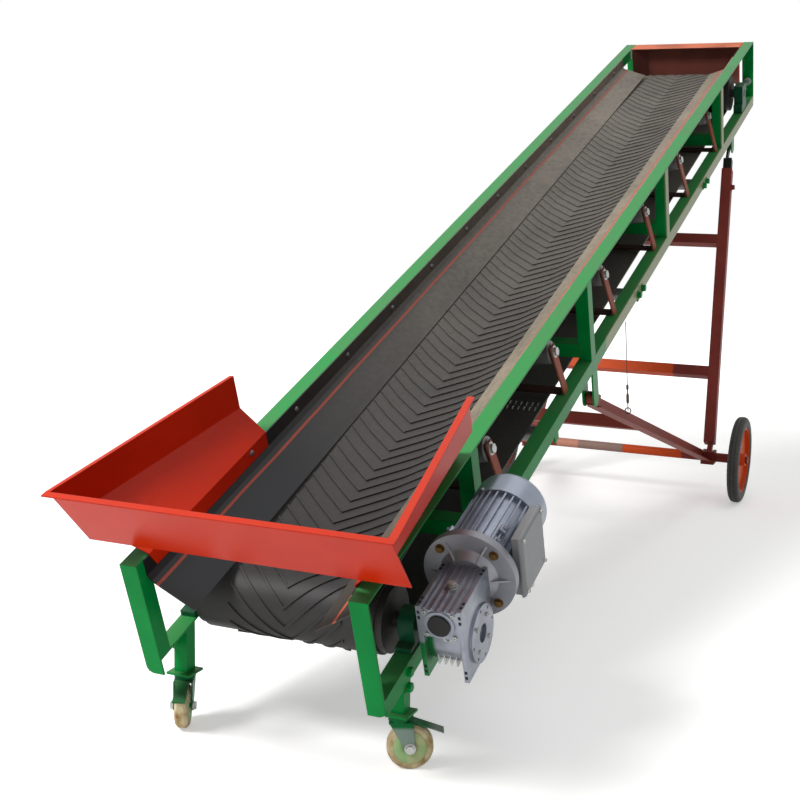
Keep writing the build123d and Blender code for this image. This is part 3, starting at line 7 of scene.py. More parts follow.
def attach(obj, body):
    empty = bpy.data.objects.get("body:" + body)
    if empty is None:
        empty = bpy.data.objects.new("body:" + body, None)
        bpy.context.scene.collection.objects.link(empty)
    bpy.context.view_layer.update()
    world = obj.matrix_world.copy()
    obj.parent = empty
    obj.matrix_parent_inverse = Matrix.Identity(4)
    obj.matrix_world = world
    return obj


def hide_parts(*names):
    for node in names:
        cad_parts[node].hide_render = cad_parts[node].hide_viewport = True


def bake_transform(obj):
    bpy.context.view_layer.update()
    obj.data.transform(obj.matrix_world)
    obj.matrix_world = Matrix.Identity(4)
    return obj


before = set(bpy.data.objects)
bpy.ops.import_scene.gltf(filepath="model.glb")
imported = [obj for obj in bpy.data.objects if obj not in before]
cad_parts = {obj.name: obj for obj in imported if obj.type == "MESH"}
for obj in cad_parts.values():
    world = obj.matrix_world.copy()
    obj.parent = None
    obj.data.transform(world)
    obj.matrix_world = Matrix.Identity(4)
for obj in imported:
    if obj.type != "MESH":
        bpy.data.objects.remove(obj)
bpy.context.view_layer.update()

# Frame: two side frames of 50 mm equal angle with welded posts and cross members.
# It is sprayed with green enamel straight on mill steel. Dust and a painted sunlit highlight make the upper
# flanges pale, and the sawn edges are chipped.


def linear(colour):
    """sRGB hex to linear RGBA: a channel c becomes ((c + 0.055) / 1.055)^2.4, or c / 12.92 when dark."""
    c = np.array([int(colour[i:i + 2], 16) for i in (1, 3, 5)]) / 255
    return (*np.where(c <= 0.04045, c / 12.92, ((c + 0.055) / 1.055) ** 2.4).tolist(), 1.0)


def add_node(tree, kind, inputs, **settings):
    """Adds one node: settings go on the node, and inputs on its sockets, linked where an output is given."""
    made = tree.nodes.new(kind)
    for key, value in settings.items():
        setattr(made, key, value)
    for key, value in inputs.items():
        if isinstance(value, bpy.types.NodeSocket):
            tree.links.new(value, made.inputs[key])
        else:
            made.inputs[key].default_value = value
    return made


def new_material(name):
    """A new material, its node tree, its shader and the object coordinates that its patterns follow."""
    material = bpy.data.materials.new(name)
    material.use_nodes = True
    tree = material.node_tree
    place = add_node(tree, "ShaderNodeTexCoord", {}).outputs["Object"]
    return material, tree, tree.nodes["Principled BSDF"], place


FLECK_SIZE = 0.009
PEEL_SIZE = 0.005
PAINT_EDGE = 0.003


def enamel(name, colour, cloud, dust, chip, gloss, wear=0.5, top_tint=0.3, cloud_size=0.16):
    """Air-dried enamel on steel: cloudy colour, dust on upward faces, chipped edges and fine orange peel.

    Clouds are 160 mm wide unless told, chips 9 mm and the peel 5 mm, which is coarse enough to show. The tint
    on upward faces is dust, and on the green paints and the baffle also a painted sunlit highlight.
    """
    material, tree, shader, place = new_material(name)
    clouds = add_node(tree, "ShaderNodeTexNoise", {"Vector": place, "Scale": 1 / cloud_size, "Detail": 4.0})
    flecks = add_node(tree, "ShaderNodeTexNoise", {"Vector": place, "Scale": 1 / FLECK_SIZE, "Detail": 3.0})
    peel = add_node(tree, "ShaderNodeTexNoise", {"Vector": place, "Scale": 1 / PEEL_SIZE, "Detail": 1.0})
    facing = add_node(tree, "ShaderNodeNewGeometry", {}).outputs["Normal"]
    rounded = add_node(tree, "ShaderNodeBevel", {"Radius": PAINT_EDGE}, samples=4).outputs["Normal"]
    height = add_node(tree, "ShaderNodeSeparateXYZ", {"Vector": facing}).outputs["Z"]
    # Upward faces take the dust colour: real dust, and on the green paints and the baffle also a painted
    # highlight where the sun falls on the tops.
    top_facing = add_node(
        tree, "ShaderNodeMapRange", {"Value": height, "From Min": 0.55, "From Max": 1.0, "To Max": top_tint}
    )
    dust_and_lit_top = add_node(
        tree, "ShaderNodeMath", {0: top_facing.outputs[0], 1: clouds.outputs["Fac"]}, operation="MULTIPLY"
    )
    turn = add_node(tree, "ShaderNodeVectorMath", {0: facing, 1: rounded}, operation="DOT_PRODUCT")
    edge = add_node(
        tree, "ShaderNodeMapRange", {"Value": turn.outputs["Value"], "From Min": 0.995, "From Max": 0.86}
    )
    worn = add_node(
        tree, "ShaderNodeMath", {0: edge.outputs[0], 1: flecks.outputs["Fac"]}, operation="MULTIPLY"
    )
    bare = add_node(
        tree,
        "ShaderNodeMapRange",
        {"Value": worn.outputs[0], "From Min": 0.34, "From Max": 0.5, "To Max": wear},
    )
    mottle = add_node(
        tree, "ShaderNodeMapRange", {"Value": clouds.outputs["Fac"], "From Min": 0.3, "From Max": 0.75}
    )
    paint = add_node(
        tree, "ShaderNodeMix", {0: mottle.outputs[0], 6: linear(colour), 7: linear(cloud)}, data_type="RGBA"
    )
    dulled = add_node(
        tree, "ShaderNodeMix", {0: dust_and_lit_top.outputs[0], 6: paint.outputs[2], 7: linear(dust)}, data_type="RGBA"
    )
    chipped = add_node(
        tree, "ShaderNodeMix", {0: bare.outputs[0], 6: dulled.outputs[2], 7: linear(chip)}, data_type="RGBA"
    )
    sheen = add_node(
        tree, "ShaderNodeMapRange", {"Value": dust_and_lit_top.outputs[0], "To Min": gloss, "To Max": gloss + 0.5}
    )
    surface = add_node(
        tree,
        "ShaderNodeBump",
        {"Height": peel.outputs["Fac"], "Normal": rounded, "Strength": 0.12, "Distance": 0.0006},
    )
    tree.links.new(chipped.outputs[2], shader.inputs["Base Color"])
    tree.links.new(sheen.outputs[0], shader.inputs["Roughness"])
    tree.links.new(surface.outputs[0], shader.inputs["Normal"])
    shader.inputs["Specular IOR Level"].default_value = 0.08
    return material


def dress(material, *nodes):
    """Gives CAD nodes one finished material in place of their packed colour."""
    for name in nodes:
        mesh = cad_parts[name].data
        mesh.materials.clear()
        mesh.materials.append(material)


# The pale green on upward faces is dust and a painted sunlit highlight.
GREEN = {"colour": "#008f40", "cloud": "#007a37", "dust": "#9fb98c", "chip": "#5d4a34"}
green_enamel = enamel("green_enamel_on_angle_iron", **GREEN, gloss=0.28)
dress(
    green_enamel,
    "top_chords", "feed_posts", "head_posts", "cross_members",
    "return_hangers", "castor_legs", "pivot_lugs", "top_lugs",
)

# Lower chords and side posts: the same angle and enamel, with a pale tan on their outer faces that is yard
# dust and a painted reflection of the ground.
# On the right side it runs only from near the middle uphill.
LEFTWARDS = np.array((0.0, 1.0, 0.0))
ALONG_FLOOR = np.array((1.0, 0.0, 0.0))
OUTER_FACE = (0.336, 0.360)
DUST_AND_REFLECTION_STRETCH = (-0.35, 3.0)
SPRAY_SOFT = 0.004


def overpainted(material, colour, limits):
    """A colour on part of a piece, with an edge 8 mm soft: spray, dust, and in places painted light.

    The colour shows where the reach along each direction lies between its two limits.
    """
    tree = material.node_tree
    shader = tree.nodes["Principled BSDF"]
    place = add_node(tree, "ShaderNodeTexCoord", {}).outputs["Object"]
    mask = 1.0
    for direction, low, high in limits:
        along = add_node(
            tree, "ShaderNodeVectorMath", {0: place, 1: tuple(direction)}, operation="DOT_PRODUCT"
        )
        for limit, soft in ((low, SPRAY_SOFT), (high, -SPRAY_SOFT)):
            edge = add_node(
                tree,
                "ShaderNodeMapRange",
                {"Value": along.outputs["Value"], "From Min": limit - soft, "From Max": limit + soft},
            )
            both = add_node(tree, "ShaderNodeMath", {0: mask, 1: edge.outputs[0]}, operation="MULTIPLY")
            mask = both.outputs[0]
    plain = shader.inputs["Base Color"].links[0].from_socket
    sprayed = add_node(tree, "ShaderNodeMix", {0: mask, 6: plain, 7: linear(colour)}, data_type="RGBA")
    tree.links.new(sprayed.outputs[2], shader.inputs["Base Color"])
    return material


green_dust_and_reflection = enamel("green_enamel_dust_and_reflection", **GREEN, gloss=0.3)
overpainted(green_dust_and_reflection, "#8f9a70", ((-LEFTWARDS, *OUTER_FACE), (ALONG_FLOOR, *DUST_AND_REFLECTION_STRETCH)))
overpainted(green_dust_and_reflection, "#5f8f60", ((LEFTWARDS, *OUTER_FACE),))
dress(green_dust_and_reflection, "bottom_chords", "side_posts")

# Bearings: cast iron pillow blocks on the lower chords at the drive drum, and sliding take-up blocks on
# stands at the head drum. They are dipped in darker green paint, which looks nearly black in the shade.
bearing_green = enamel(
    "dark_green_bearing_paint", colour="#17573a", cloud="#0f4029", dust="#7f9a7c", chip="#5d4a34", gloss=0.35
)
dress(bearing_green, "drive_bearings", "take_up_bearings")

# Welds: beads laid by hand at the heads and feet of the side posts.
# They are painted over with the frame.
SLOPE = np.radians(20.0)
FEED_END = np.array((-2.328617, 0.0, 0.502))
SIDES = (1, -1)
POST_PLACES = (0.678, 1.810, 2.958, 4.125)
POST_LEG = (0.005, 0.050)
HEAD_SEAM, FOOT_SEAM = 0.006, 0.290
HEAD_INSIDE, FOOT_INSIDE = 0.300, 0.297
CHORD_WEB, CHORD_OUTSIDE = 0.335, 0.336
BEAD_RADIUS, BEAD_RIPPLE, BEAD_SWELL = 0.0035, 0.006, 0.22
BEAD_SIDES, RIPPLE_STEPS, FEWEST_STEPS = 8, 4, 8
DOUBLES = 1e-6


def deck(along, across, depth):
    """Place on the inclined frame, in metres, from the feed end of the upper chords.

    x = along cos(slope) + depth sin(slope), y = across, z = along sin(slope) - depth cos(slope).
    """
    along, across, depth = np.broadcast_arrays(along, across, depth)
    x = along * np.cos(SLOPE) + depth * np.sin(SLOPE)
    z = along * np.sin(SLOPE) - depth * np.cos(SLOPE)
    return FEED_END + np.stack((x, across, z), axis=-1)


def grid_quads(rows, columns):
    """Quads of a grid of points, rows by columns, whose last column joins the first."""
    row, column = np.meshgrid(np.arange(rows - 1), np.arange(columns), indexing="ij")
    after = (column + 1) % columns
    here, above = row * columns, (row + 1) * columns
    return np.stack((here + column, here + after, above + after, above + column), axis=-1).reshape(-1, 4)


def crosswise(directions):
    """Two unit vectors square to each direction d: u = d x axis, v = d x u; the axis is Z or, near it, X."""
    directions = directions / np.linalg.norm(directions, axis=-1, keepdims=True)
    upright = np.abs(directions[..., 2:]) > 0.9
    u = np.cross(directions, np.where(upright, (1.0, 0.0, 0.0), (0.0, 0.0, 1.0)))
    u /= np.linalg.norm(u, axis=-1, keepdims=True)
    return u, np.cross(directions, u)


def carried(path, radii, steps):
    """Round section carried along a path, closed at both ends.

    p(i, a) = path(i) + radius(i) (u cos a + v sin a).
    """
    path = np.asarray(path, float)
    u, v = crosswise(np.gradient(path, axis=0))
    radii = np.broadcast_to(radii, len(path))
    rings = np.concatenate(([0.0], radii, [0.0]))
    index = np.concatenate(([0], np.arange(len(path)), [len(path) - 1]))
    angle = np.linspace(0, 2 * np.pi, steps, endpoint=False)
    around = u[index][:, None] * np.cos(angle)[:, None] + v[index][:, None] * np.sin(angle)[:, None]
    points = path[index][:, None] + rings[:, None, None] * around
    return points.reshape(-1, 3), grid_quads(len(rings), steps)


def make_piece(name, surfaces, material, body, sharp=40.0):
    """One object from grids of points and quads: doubles at poles merge, and faces are turned outwards.

    It rides on the named body; a piece between two bodies gets none.
    """
    starts = np.cumsum([0] + [len(points) for points, _ in surfaces])
    points = np.concatenate([points for points, _ in surfaces])
    quads = np.concatenate([quads + start for (_, quads), start in zip(surfaces, starts)])
    mesh = bpy.data.meshes.new(name)
    mesh.from_pydata(points.tolist(), [], quads.tolist())
    shell = bmesh.new()
    shell.from_mesh(mesh)
    bmesh.ops.remove_doubles(shell, verts=shell.verts, dist=DOUBLES)
    bmesh.ops.recalc_face_normals(shell, faces=shell.faces)
    shell.to_mesh(mesh)
    shell.free()
    mesh.polygons.foreach_set("use_smooth", np.ones(len(mesh.polygons), bool))
    mesh.set_sharp_from_angle(angle=np.radians(sharp))
    mesh.materials.append(material)
    made = bpy.data.objects.new(name, mesh)
    bpy.context.scene.collection.objects.link(made)
    if body:
        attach(made, body)
    return made


def bead(start, end):
    """Weld bead along a straight seam: its radius swells and shrinks once every ripple."""
    length = np.linalg.norm(end - start)
    t = np.linspace(0, 1, max(FEWEST_STEPS, int(length / BEAD_RIPPLE * RIPPLE_STEPS)))
    swell = 1 + BEAD_SWELL * np.sin(2 * np.pi * t * length / BEAD_RIPPLE)
    return carried(start + (end - start) * t[:, None], BEAD_RADIUS * swell, BEAD_SIDES)


beads = []
for place in POST_PLACES:
    near, far = place + POST_LEG[0], place + POST_LEG[1]
    for side in SIDES:
        web, outside = side * CHORD_WEB, side * CHORD_OUTSIDE
        beads += [
            bead(deck(place, side * FOOT_INSIDE, FOOT_SEAM), deck(place, outside, FOOT_SEAM)),
            bead(deck(near, web, FOOT_SEAM), deck(far, web, FOOT_SEAM)),
            bead(deck(place, side * HEAD_INSIDE, HEAD_SEAM), deck(place, outside, HEAD_SEAM)),
        ]
make_piece("frame_welds", beads, green_enamel, "frame")

# Belt: a 500 mm rubber belt on textile plies, moulded with a chevron tread, run as one closed loop.
# Its face is dull and grey with stone dust, darker where the dust is rubbed off.
PATCH_SIZE = 0.25


def dusty_rubber(name, colour, dust, shares, roughness, grain, span=(-1.9, 1.4)):
    """Vulcanised rubber: near-black, matt, with dust in 250 mm patches and a moulded grain of the given size.

    The share of dust runs from the first value near the feed end to the second uphill, over the span of x.
    """
    material, tree, shader, place = new_material(name)
    patches = add_node(tree, "ShaderNodeTexNoise", {"Vector": place, "Scale": 1 / PATCH_SIZE, "Detail": 6.0})
    specks = add_node(tree, "ShaderNodeTexNoise", {"Vector": place, "Scale": 1 / grain, "Detail": 4.0})
    spread = add_node(
        tree, "ShaderNodeMath", {0: patches.outputs["Fac"], 1: specks.outputs["Fac"]}, operation="ADD"
    )
    patchy = add_node(
        tree,
        "ShaderNodeMapRange",
        {"Value": spread.outputs[0], "From Min": 0.6, "From Max": 1.25, "To Min": 0.45},
    )
    along = add_node(tree, "ShaderNodeSeparateXYZ", {"Vector": place}).outputs["X"]
    uphill_share = add_node(
        tree,
        "ShaderNodeMapRange",
        {"Value": along, "From Min": span[0], "From Max": span[1], "To Min": shares[0], "To Max": shares[1]},
    )
    cover = add_node(
        tree, "ShaderNodeMath", {0: patchy.outputs[0], 1: uphill_share.outputs[0]}, operation="MULTIPLY"
    )
    tint = add_node(
        tree, "ShaderNodeMix", {0: cover.outputs[0], 6: linear(colour), 7: linear(dust)}, data_type="RGBA"
    )
    surface = add_node(
        tree, "ShaderNodeBump", {"Height": specks.outputs["Fac"], "Strength": 0.25, "Distance": 0.0008}
    )
    tree.links.new(tint.outputs[2], shader.inputs["Base Color"])
    tree.links.new(surface.outputs[0], shader.inputs["Normal"])
    shader.inputs["Roughness"].default_value = roughness
    shader.inputs["IOR"].default_value = 1.52
    shader.inputs["Specular IOR Level"].default_value = 0.25
    return material


belt_rubber = dusty_rubber(
    "chevron_belt_rubber", colour="#1f1f20", dust="#78726a", shares=(0.06, 0.85),
    roughness=0.55, grain=0.012, span=(-2.0, 1.4),
)
dress(belt_rubber, "belt")
DRIVE_DRUM = (0.250, 0.242)
HEAD_DRUM = (4.742, 0.200)
BELT_RADIUS = 0.0943
BELT_TILT = np.arctan2(DRIVE_DRUM[1] - HEAD_DRUM[1], HEAD_DRUM[0] - DRIVE_DRUM[0])
BELT_SPAN = np.hypot(DRIVE_DRUM[1] - HEAD_DRUM[1], HEAD_DRUM[0] - DRIVE_DRUM[0])
WING = np.radians(12.0)
TROUGH_HALF = 0.100
ROLLER_PLACES = 0.950 + 0.626 * np.arange(6)
UPHILL = np.array((np.cos(SLOPE), 0.0, np.sin(SLOPE)))
DECK_UP = np.array((-np.sin(SLOPE), 0.0, np.cos(SLOPE)))
belt_along = UPHILL * np.cos(BELT_TILT) + DECK_UP * np.sin(BELT_TILT)
belt_up = DECK_UP * np.cos(BELT_TILT) - UPHILL * np.sin(BELT_TILT)
roller_runs = (ROLLER_PLACES - DRIVE_DRUM[0]) / np.cos(BELT_TILT)


def belt_face(travel, across, lift):
    """Place on the belt's outer face, a lift above it, at a travel from the drive drum's top round the loop.

    The upper strand has run = travel; the head drum turns by (travel - span) / radius; the lower strand
    runs back; the drive drum turns by the rest. The wings rise in the trough by (|across| - flat) tan(wing).
    """
    half_turn = np.pi * BELT_RADIUS
    travel = np.mod(travel, 2 * (BELT_SPAN + half_turn))
    head_turn = (travel - BELT_SPAN) / BELT_RADIUS
    back = travel - BELT_SPAN - half_turn
    feed_turn = (back - BELT_SPAN) / BELT_RADIUS
    trough_runs = (0, roller_runs[0], roller_runs[-1], BELT_SPAN)
    trough = np.interp(travel, trough_runs, (0, np.tan(WING), np.tan(WING), 0))
    rise = trough * np.maximum(np.abs(across) - TROUGH_HALF, 0)
    radius = BELT_RADIUS + lift
    strand = (travel < BELT_SPAN, head_turn < np.pi, back < BELT_SPAN, feed_turn < np.inf)
    run = np.select(
        strand,
        (travel, BELT_SPAN + radius * np.sin(head_turn), BELT_SPAN - back, -radius * np.sin(feed_turn)),
    )
    height = np.select(
        strand, (radius + rise, radius * np.cos(head_turn), -radius, -radius * np.cos(feed_turn))
    )
    centre = deck(DRIVE_DRUM[0], 0, DRIVE_DRUM[1])
    return centre + run[..., None] * belt_along + height[..., None] * belt_up + across[..., None] * LEFTWARDS


# Chevron ribs: moulded with the belt, 4.5 mm high. Those beyond the solid's own are made here:
# the arms on the raised wings, and whole ribs on the drums and lower strand.
RIB_START, RIB_PITCH = 0.012, 0.055
RIB_SECTION = np.array(
    ((0, -1e-3), (4e-4, 3.6e-3), (1.6e-3, 4.5e-3), (8.4e-3, 4.5e-3), (9.6e-3, 3.6e-3), (1e-2, -1e-3))
)
RIB_MIDDLE = np.array((0.005, 0.00225))
RIB_SLANT = np.tan(np.radians(43.0))
RIB_REACH, RIB_OVERLAP = 0.164, 0.003
SOLID_RIBS, WHOLE_RIBS = 80, 94
ARM_STEPS, RIB_STEPS = 5, 17


def ribs(index, across):
    """Moulded ribs along rows of places across, closed at both ends.

    travel = start + pitch index + |across| slant, to which the section adds its own travel and lift.
    """
    rows = np.concatenate((across[:1], across, across[-1:]))
    closing = np.concatenate(([0.0], np.ones(len(across)), [0.0]))
    offsets = RIB_MIDDLE + closing[:, None, None] * (RIB_SECTION - RIB_MIDDLE)
    start = RIB_START + RIB_PITCH * index[:, None, None]
    travel = start + np.abs(rows)[:, None] * RIB_SLANT + offsets[..., 0]
    points = belt_face(
        travel, np.broadcast_to(rows[:, None], travel.shape), np.broadcast_to(offsets[..., 1], travel.shape)
    )
    quads = grid_quads(len(rows), len(RIB_SECTION))
    copies = np.arange(len(index))[:, None, None] * len(rows) * len(RIB_SECTION)
    return points.reshape(-1, 3), (quads + copies).reshape(-1, 4)


wing_arm = np.linspace(TROUGH_HALF - RIB_OVERLAP, RIB_REACH, ARM_STEPS)
make_piece(
    "belt_ribs",
    [
        ribs(np.arange(SOLID_RIBS), wing_arm),
        ribs(np.arange(SOLID_RIBS), -wing_arm),
        ribs(SOLID_RIBS + np.arange(WHOLE_RIBS), np.linspace(-RIB_REACH, RIB_REACH, RIB_STEPS)),
    ],
    belt_rubber, "frame",
)

# Belt joint: wire hooks pressed through both cut ends of the belt and linked by a pin, on the lower strand.
# Each hook comes out of the rubber twice, so the joint shows as two rows of bright staples: its depth is
# the bite less the rise times the square of sin(pi bow), where bow goes from -1 to 1 along it.
BELT_THICKNESS = 0.006
LACING_PLACE = 1.510
HOOK_REACH, HOOK_WIRE, HOOK_BITE, HOOK_RISE = 0.032, 0.0024, 0.004, 0.0085
HOOKS, HOOK_SPREAD, HOOK_STEPS, HOOK_SIDES = 25, 0.235, 17, 6
LINK_HALF, LINK_RADIUS, LINK_STEPS, LINK_SIDES = 0.24, 0.0028, 9, 8
TARNISH_SIZE = 0.06
SCUFF_SIZE = 0.003


def turned_steel(name, colour, tarnish, roughness):
    """Mill steel, turned: grey metal with tarnish in 60 mm clouds and fine 3 mm scuffs."""
    material, tree, shader, place = new_material(name)
    clouds = add_node(tree, "ShaderNodeTexNoise", {"Vector": place, "Scale": 1 / TARNISH_SIZE, "Detail": 6.0})
    scuffs = add_node(tree, "ShaderNodeTexNoise", {"Vector": place, "Scale": 1 / SCUFF_SIZE, "Detail": 2.0})
    cloud = clouds.outputs["Fac"]
    tint = add_node(
        tree, "ShaderNodeMix", {0: cloud, 6: linear(colour), 7: linear(tarnish)}, data_type="RGBA"
    )
    sheen = add_node(
        tree, "ShaderNodeMapRange", {"Value": cloud, "To Min": roughness - 0.1, "To Max": roughness + 0.2}
    )
    surface = add_node(
        tree, "ShaderNodeBump", {"Height": scuffs.outputs["Fac"], "Strength": 0.1, "Distance": 0.0004}
    )
    tree.links.new(tint.outputs[2], shader.inputs["Base Color"])
    tree.links.new(sheen.outputs[0], shader.inputs["Roughness"])
    tree.links.new(surface.outputs[0], shader.inputs["Normal"])
    shader.inputs["Metallic"].default_value = 0.9
    return material


lacing_steel = turned_steel("bright_lacing_steel", "#d6d8d8", "#aeb0ae", roughness=0.4)
lacing_travel = 2 * BELT_SPAN + np.pi * BELT_RADIUS - (LACING_PLACE - DRIVE_DRUM[0])
hook_bow = np.linspace(-1, 1, HOOK_STEPS)
hook_travel = lacing_travel + HOOK_REACH * hook_bow
hook_lift = -BELT_THICKNESS + HOOK_BITE - HOOK_RISE * np.sin(np.pi * hook_bow)**2
lacing = [
    carried(belt_face(hook_travel, np.full(HOOK_STEPS, across), hook_lift), HOOK_WIRE, HOOK_SIDES)
    for across in np.linspace(-HOOK_SPREAD, HOOK_SPREAD, HOOKS)
]
link = belt_face(
    np.full(LINK_STEPS, lacing_travel),
    np.linspace(-LINK_HALF, LINK_HALF, LINK_STEPS),
    np.full(LINK_STEPS, -BELT_THICKNESS + HOOK_BITE),
)
lacing.append(carried(link, LINK_RADIUS, LINK_SIDES))
make_piece("belt_lacing", lacing, lacing_steel, "frame")

# Drums and rollers: drawn steel tube on turned shafts, running in the bearings and brackets.
# The belt rubs the rollers bright, and the drums are blackened.
roller_steel = turned_steel("turned_roller_steel", "#8d8f90", "#5b5650", roughness=0.4)
dress(roller_steel, "centre_rollers", "wing_rollers", "return_rollers")
drum_steel = turned_steel("blackened_drum_steel", "#4a4846", "#262422", roughness=0.55)
dress(drum_steel, "drive_drum", "head_drum")

# Roller brackets: flat bar welded upright on the lower chords, with base bars across the chords between.
# They are left in red oxide primer: the brackets are salmon as painted sunlight, and the bases dark as
# painted shade under the belt.
# Each roller pin has a nut and washer, in zinc that is pale and half bright.
PIN_ROOT = (0.111876, 0.051669)
BRACKET_FACE = 0.180
NUT_FACES, WASHER_STEPS = 6, 20
NUT_CROWN, NUT_SHOULDER, WASHER_REACH = 0.88, 0.9, 1.3
bracket_primer = enamel(
    "oxide_primer_painted_sunlight", colour="#a2604f", cloud="#905040", dust="#a98472", chip="#4c2b22", gloss=0.5
)
dress(bracket_primer, "roller_brackets")
base_primer = enamel(
    "shaded_base_primer", colour="#3a2621", cloud="#2c1d1a", dust="#6a5348", chip="#2a1a16", gloss=0.5
)
dress(base_primer, "roller_bases")


def turned(places, axes, profile, steps):
    """Copies of a turned head: p = place + axis h + r (u cos a + v sin a) for each profile point (r, h)."""
    places, axes = np.broadcast_arrays(np.atleast_2d(places), np.atleast_2d(axes))
    axes = axes / np.linalg.norm(axes, axis=-1, keepdims=True)
    u, v = crosswise(axes)
    radius, height = np.asarray(profile, float).T[:, :, None, None]
    angle = np.linspace(0, 2 * np.pi, steps, endpoint=False)
    around = u[:, None, None] * np.cos(angle)[:, None] + v[:, None, None] * np.sin(angle)[:, None]
    points = places[:, None, None] + axes[:, None, None] * height + around * radius
    quads = grid_quads(len(radius), steps)
    copies = np.arange(len(places))[:, None, None] * len(radius) * steps
    return points.reshape(-1, 3), (quads + copies).reshape(-1, 4)


def hex_nut(places, axes, across, thickness):
    """Six-sided nut with chamfered faces, standing on a washer one sixth as thick."""
    corner, foot, shoulder = across / np.sqrt(3), thickness / 6, thickness * NUT_SHOULDER
    rim = corner * WASHER_REACH
    nut = ((0, foot), (corner, foot), (corner, shoulder), (corner * NUT_CROWN, thickness), (0, thickness))
    washer = ((0, 0), (rim, 0), (rim, foot), (0, foot))
    return [turned(places, axes, nut, NUT_FACES), turned(places, axes, washer, WASHER_STEPS)]


zinc_plate = turned_steel("zinc_plated_fastener", "#c2c5c4", "#8f8f88", roughness=0.34)
pin_places, pin_axes = [], []
for side in SIDES:
    outwards = side * LEFTWARDS * np.cos(WING) + belt_up * np.sin(WING)
    middle = deck(DRIVE_DRUM[0], side * PIN_ROOT[0], DRIVE_DRUM[1])
    root = middle + roller_runs[:, None] * belt_along + belt_up * PIN_ROOT[1]
    pin_places.append(root + outwards * BRACKET_FACE)
    pin_axes.append(np.broadcast_to(outwards, root.shape))
make_piece(
    "roller_pin_nuts",
    hex_nut(np.concatenate(pin_places), np.concatenate(pin_axes), across=0.027, thickness=0.012),
    zinc_plate, "frame", sharp=20.0,
)

# Return hangers: flat plates under the lower chords that carry the return rollers, painted with the frame.
# The two uphill ones hang from two bolts each through the chord. The first is welded on.
BOLTED_PLACES = np.array((2.490, 3.720))
HANGER_BOLT_REACH = 0.032
HANGER_FACE, HANGER_DEPTH = 0.340, 0.326
hanger_along = np.concatenate((BOLTED_PLACES - HANGER_BOLT_REACH, BOLTED_PLACES + HANGER_BOLT_REACH))
hanger_bolts = []
for side in SIDES:
    places = deck(hanger_along, side * HANGER_FACE, HANGER_DEPTH)
    hanger_bolts += hex_nut(places, side * LEFTWARDS, across=0.024, thickness=0.015)
make_piece("hanger_bolts", hanger_bolts, green_enamel, "frame", sharp=20.0)

# Take-up: two screws that draw the head drum's bearings uphill and so stretch the belt.
# Each has two zinc plated lock nuts.
TAKE_UP_ALONG = np.array((4.815, 4.960))
CHORD_MIDDLE = 0.315
take_up_nuts = []
for side in SIDES:
    places = deck(TAKE_UP_ALONG, side * CHORD_MIDDLE, HEAD_DRUM[1])
    take_up_nuts += hex_nut(places, UPHILL, across=0.027, thickness=0.014)
make_piece("take_up_nuts", take_up_nuts, zinc_plate, "frame", sharp=20.0)

# Skirts: strips of 4 mm conveyor rubber bolted inside the upper chords and bent over the belt's margins.
# A red line is moulded along each strip. The bolts are cup heads through the chord's web.
LINE_WAVE, LINE_WAVER, LINE_SOFT = 0.5, 0.005, 0.001
BOLT_START, BOLT_PITCH, BOLTS = 0.860, 0.365, 11
SKIRT_FACE, SKIRT_BOLT_DEPTH = 0.286, 0.024
CUP_HEAD = ((0.0095, 0), (0.0092, 0.002), (0.0065, 0.0045), (0.003, 0.0056), (0, 0.0058))
CUP_STEPS = 14


def lined_rubber(name, colour, dust, shares, span, line, line_across, line_width):
    """Skirt rubber with a red line where |y| is near the line's place, wavering by 5 mm over half a metre."""
    material = dusty_rubber(name, colour, dust, shares, roughness=0.5, grain=0.02, span=span)
    tree = material.node_tree
    shader = tree.nodes["Principled BSDF"]
    place = add_node(tree, "ShaderNodeTexCoord", {}).outputs["Object"]
    across = add_node(tree, "ShaderNodeSeparateXYZ", {"Vector": place}).outputs["Y"]
    away = add_node(tree, "ShaderNodeMath", {0: across}, operation="ABSOLUTE")
    waver = add_node(tree, "ShaderNodeTexNoise", {"Vector": place, "Scale": 1 / LINE_WAVE, "Detail": 3.0})
    low, high = line_across - LINE_WAVER, line_across + LINE_WAVER
    shift = add_node(
        tree, "ShaderNodeMapRange", {"Value": waver.outputs["Fac"], "To Min": low, "To Max": high}
    )
    off = add_node(tree, "ShaderNodeMath", {0: away.outputs[0], 1: shift.outputs[0]}, operation="SUBTRACT")
    distance = add_node(tree, "ShaderNodeMath", {0: off.outputs[0]}, operation="ABSOLUTE").outputs[0]
    rim = line_width / 2
    mask = add_node(
        tree,
        "ShaderNodeMapRange",
        {"Value": distance, "From Min": rim + LINE_SOFT, "From Max": rim, "To Max": 0.9},
    )
    plain = shader.inputs["Base Color"].links[0].from_socket
    marked = add_node(
        tree, "ShaderNodeMix", {0: mask.outputs[0], 6: plain, 7: linear(line)}, data_type="RGBA"
    )
    tree.links.new(marked.outputs[2], shader.inputs["Base Color"])
    return material


# The left skirt is near black and barely dusty near the feed: painted shade, as it faces away from the light.
left_skirt = lined_rubber(
    "left_skirt_rubber_painted_shade", colour="#0e1014", dust="#857c70", shares=(0.0, 0.95), span=(-1.7, 1.4),
    line="#a2432f", line_across=0.262, line_width=0.006,
)
dress(left_skirt, "skirt_left")
# The right skirt is pale with dust almost from the feed end and has a brighter line: dust and painted
# sunlight.
right_skirt = lined_rubber(
    "right_skirt_rubber_dust_and_painted_light", colour="#232324", dust="#978b78", shares=(0.1, 1.0), span=(-2.2, -1.3),
    line="#bb5c42", line_across=0.226, line_width=0.009,
)
dress(right_skirt, "skirt_right")
dull_steel = turned_steel("dull_bolt_steel", "#77797a", "#4d4a46", roughness=0.5)
bolt_along = BOLT_START + BOLT_PITCH * np.arange(BOLTS)
make_piece(
    "skirt_bolts",
    [
        turned(deck(bolt_along, side * SKIRT_FACE, SKIRT_BOLT_DEPTH), -side * LEFTWARDS, CUP_HEAD, CUP_STEPS)
        for side in SIDES
    ],
    dull_steel, "frame",
)

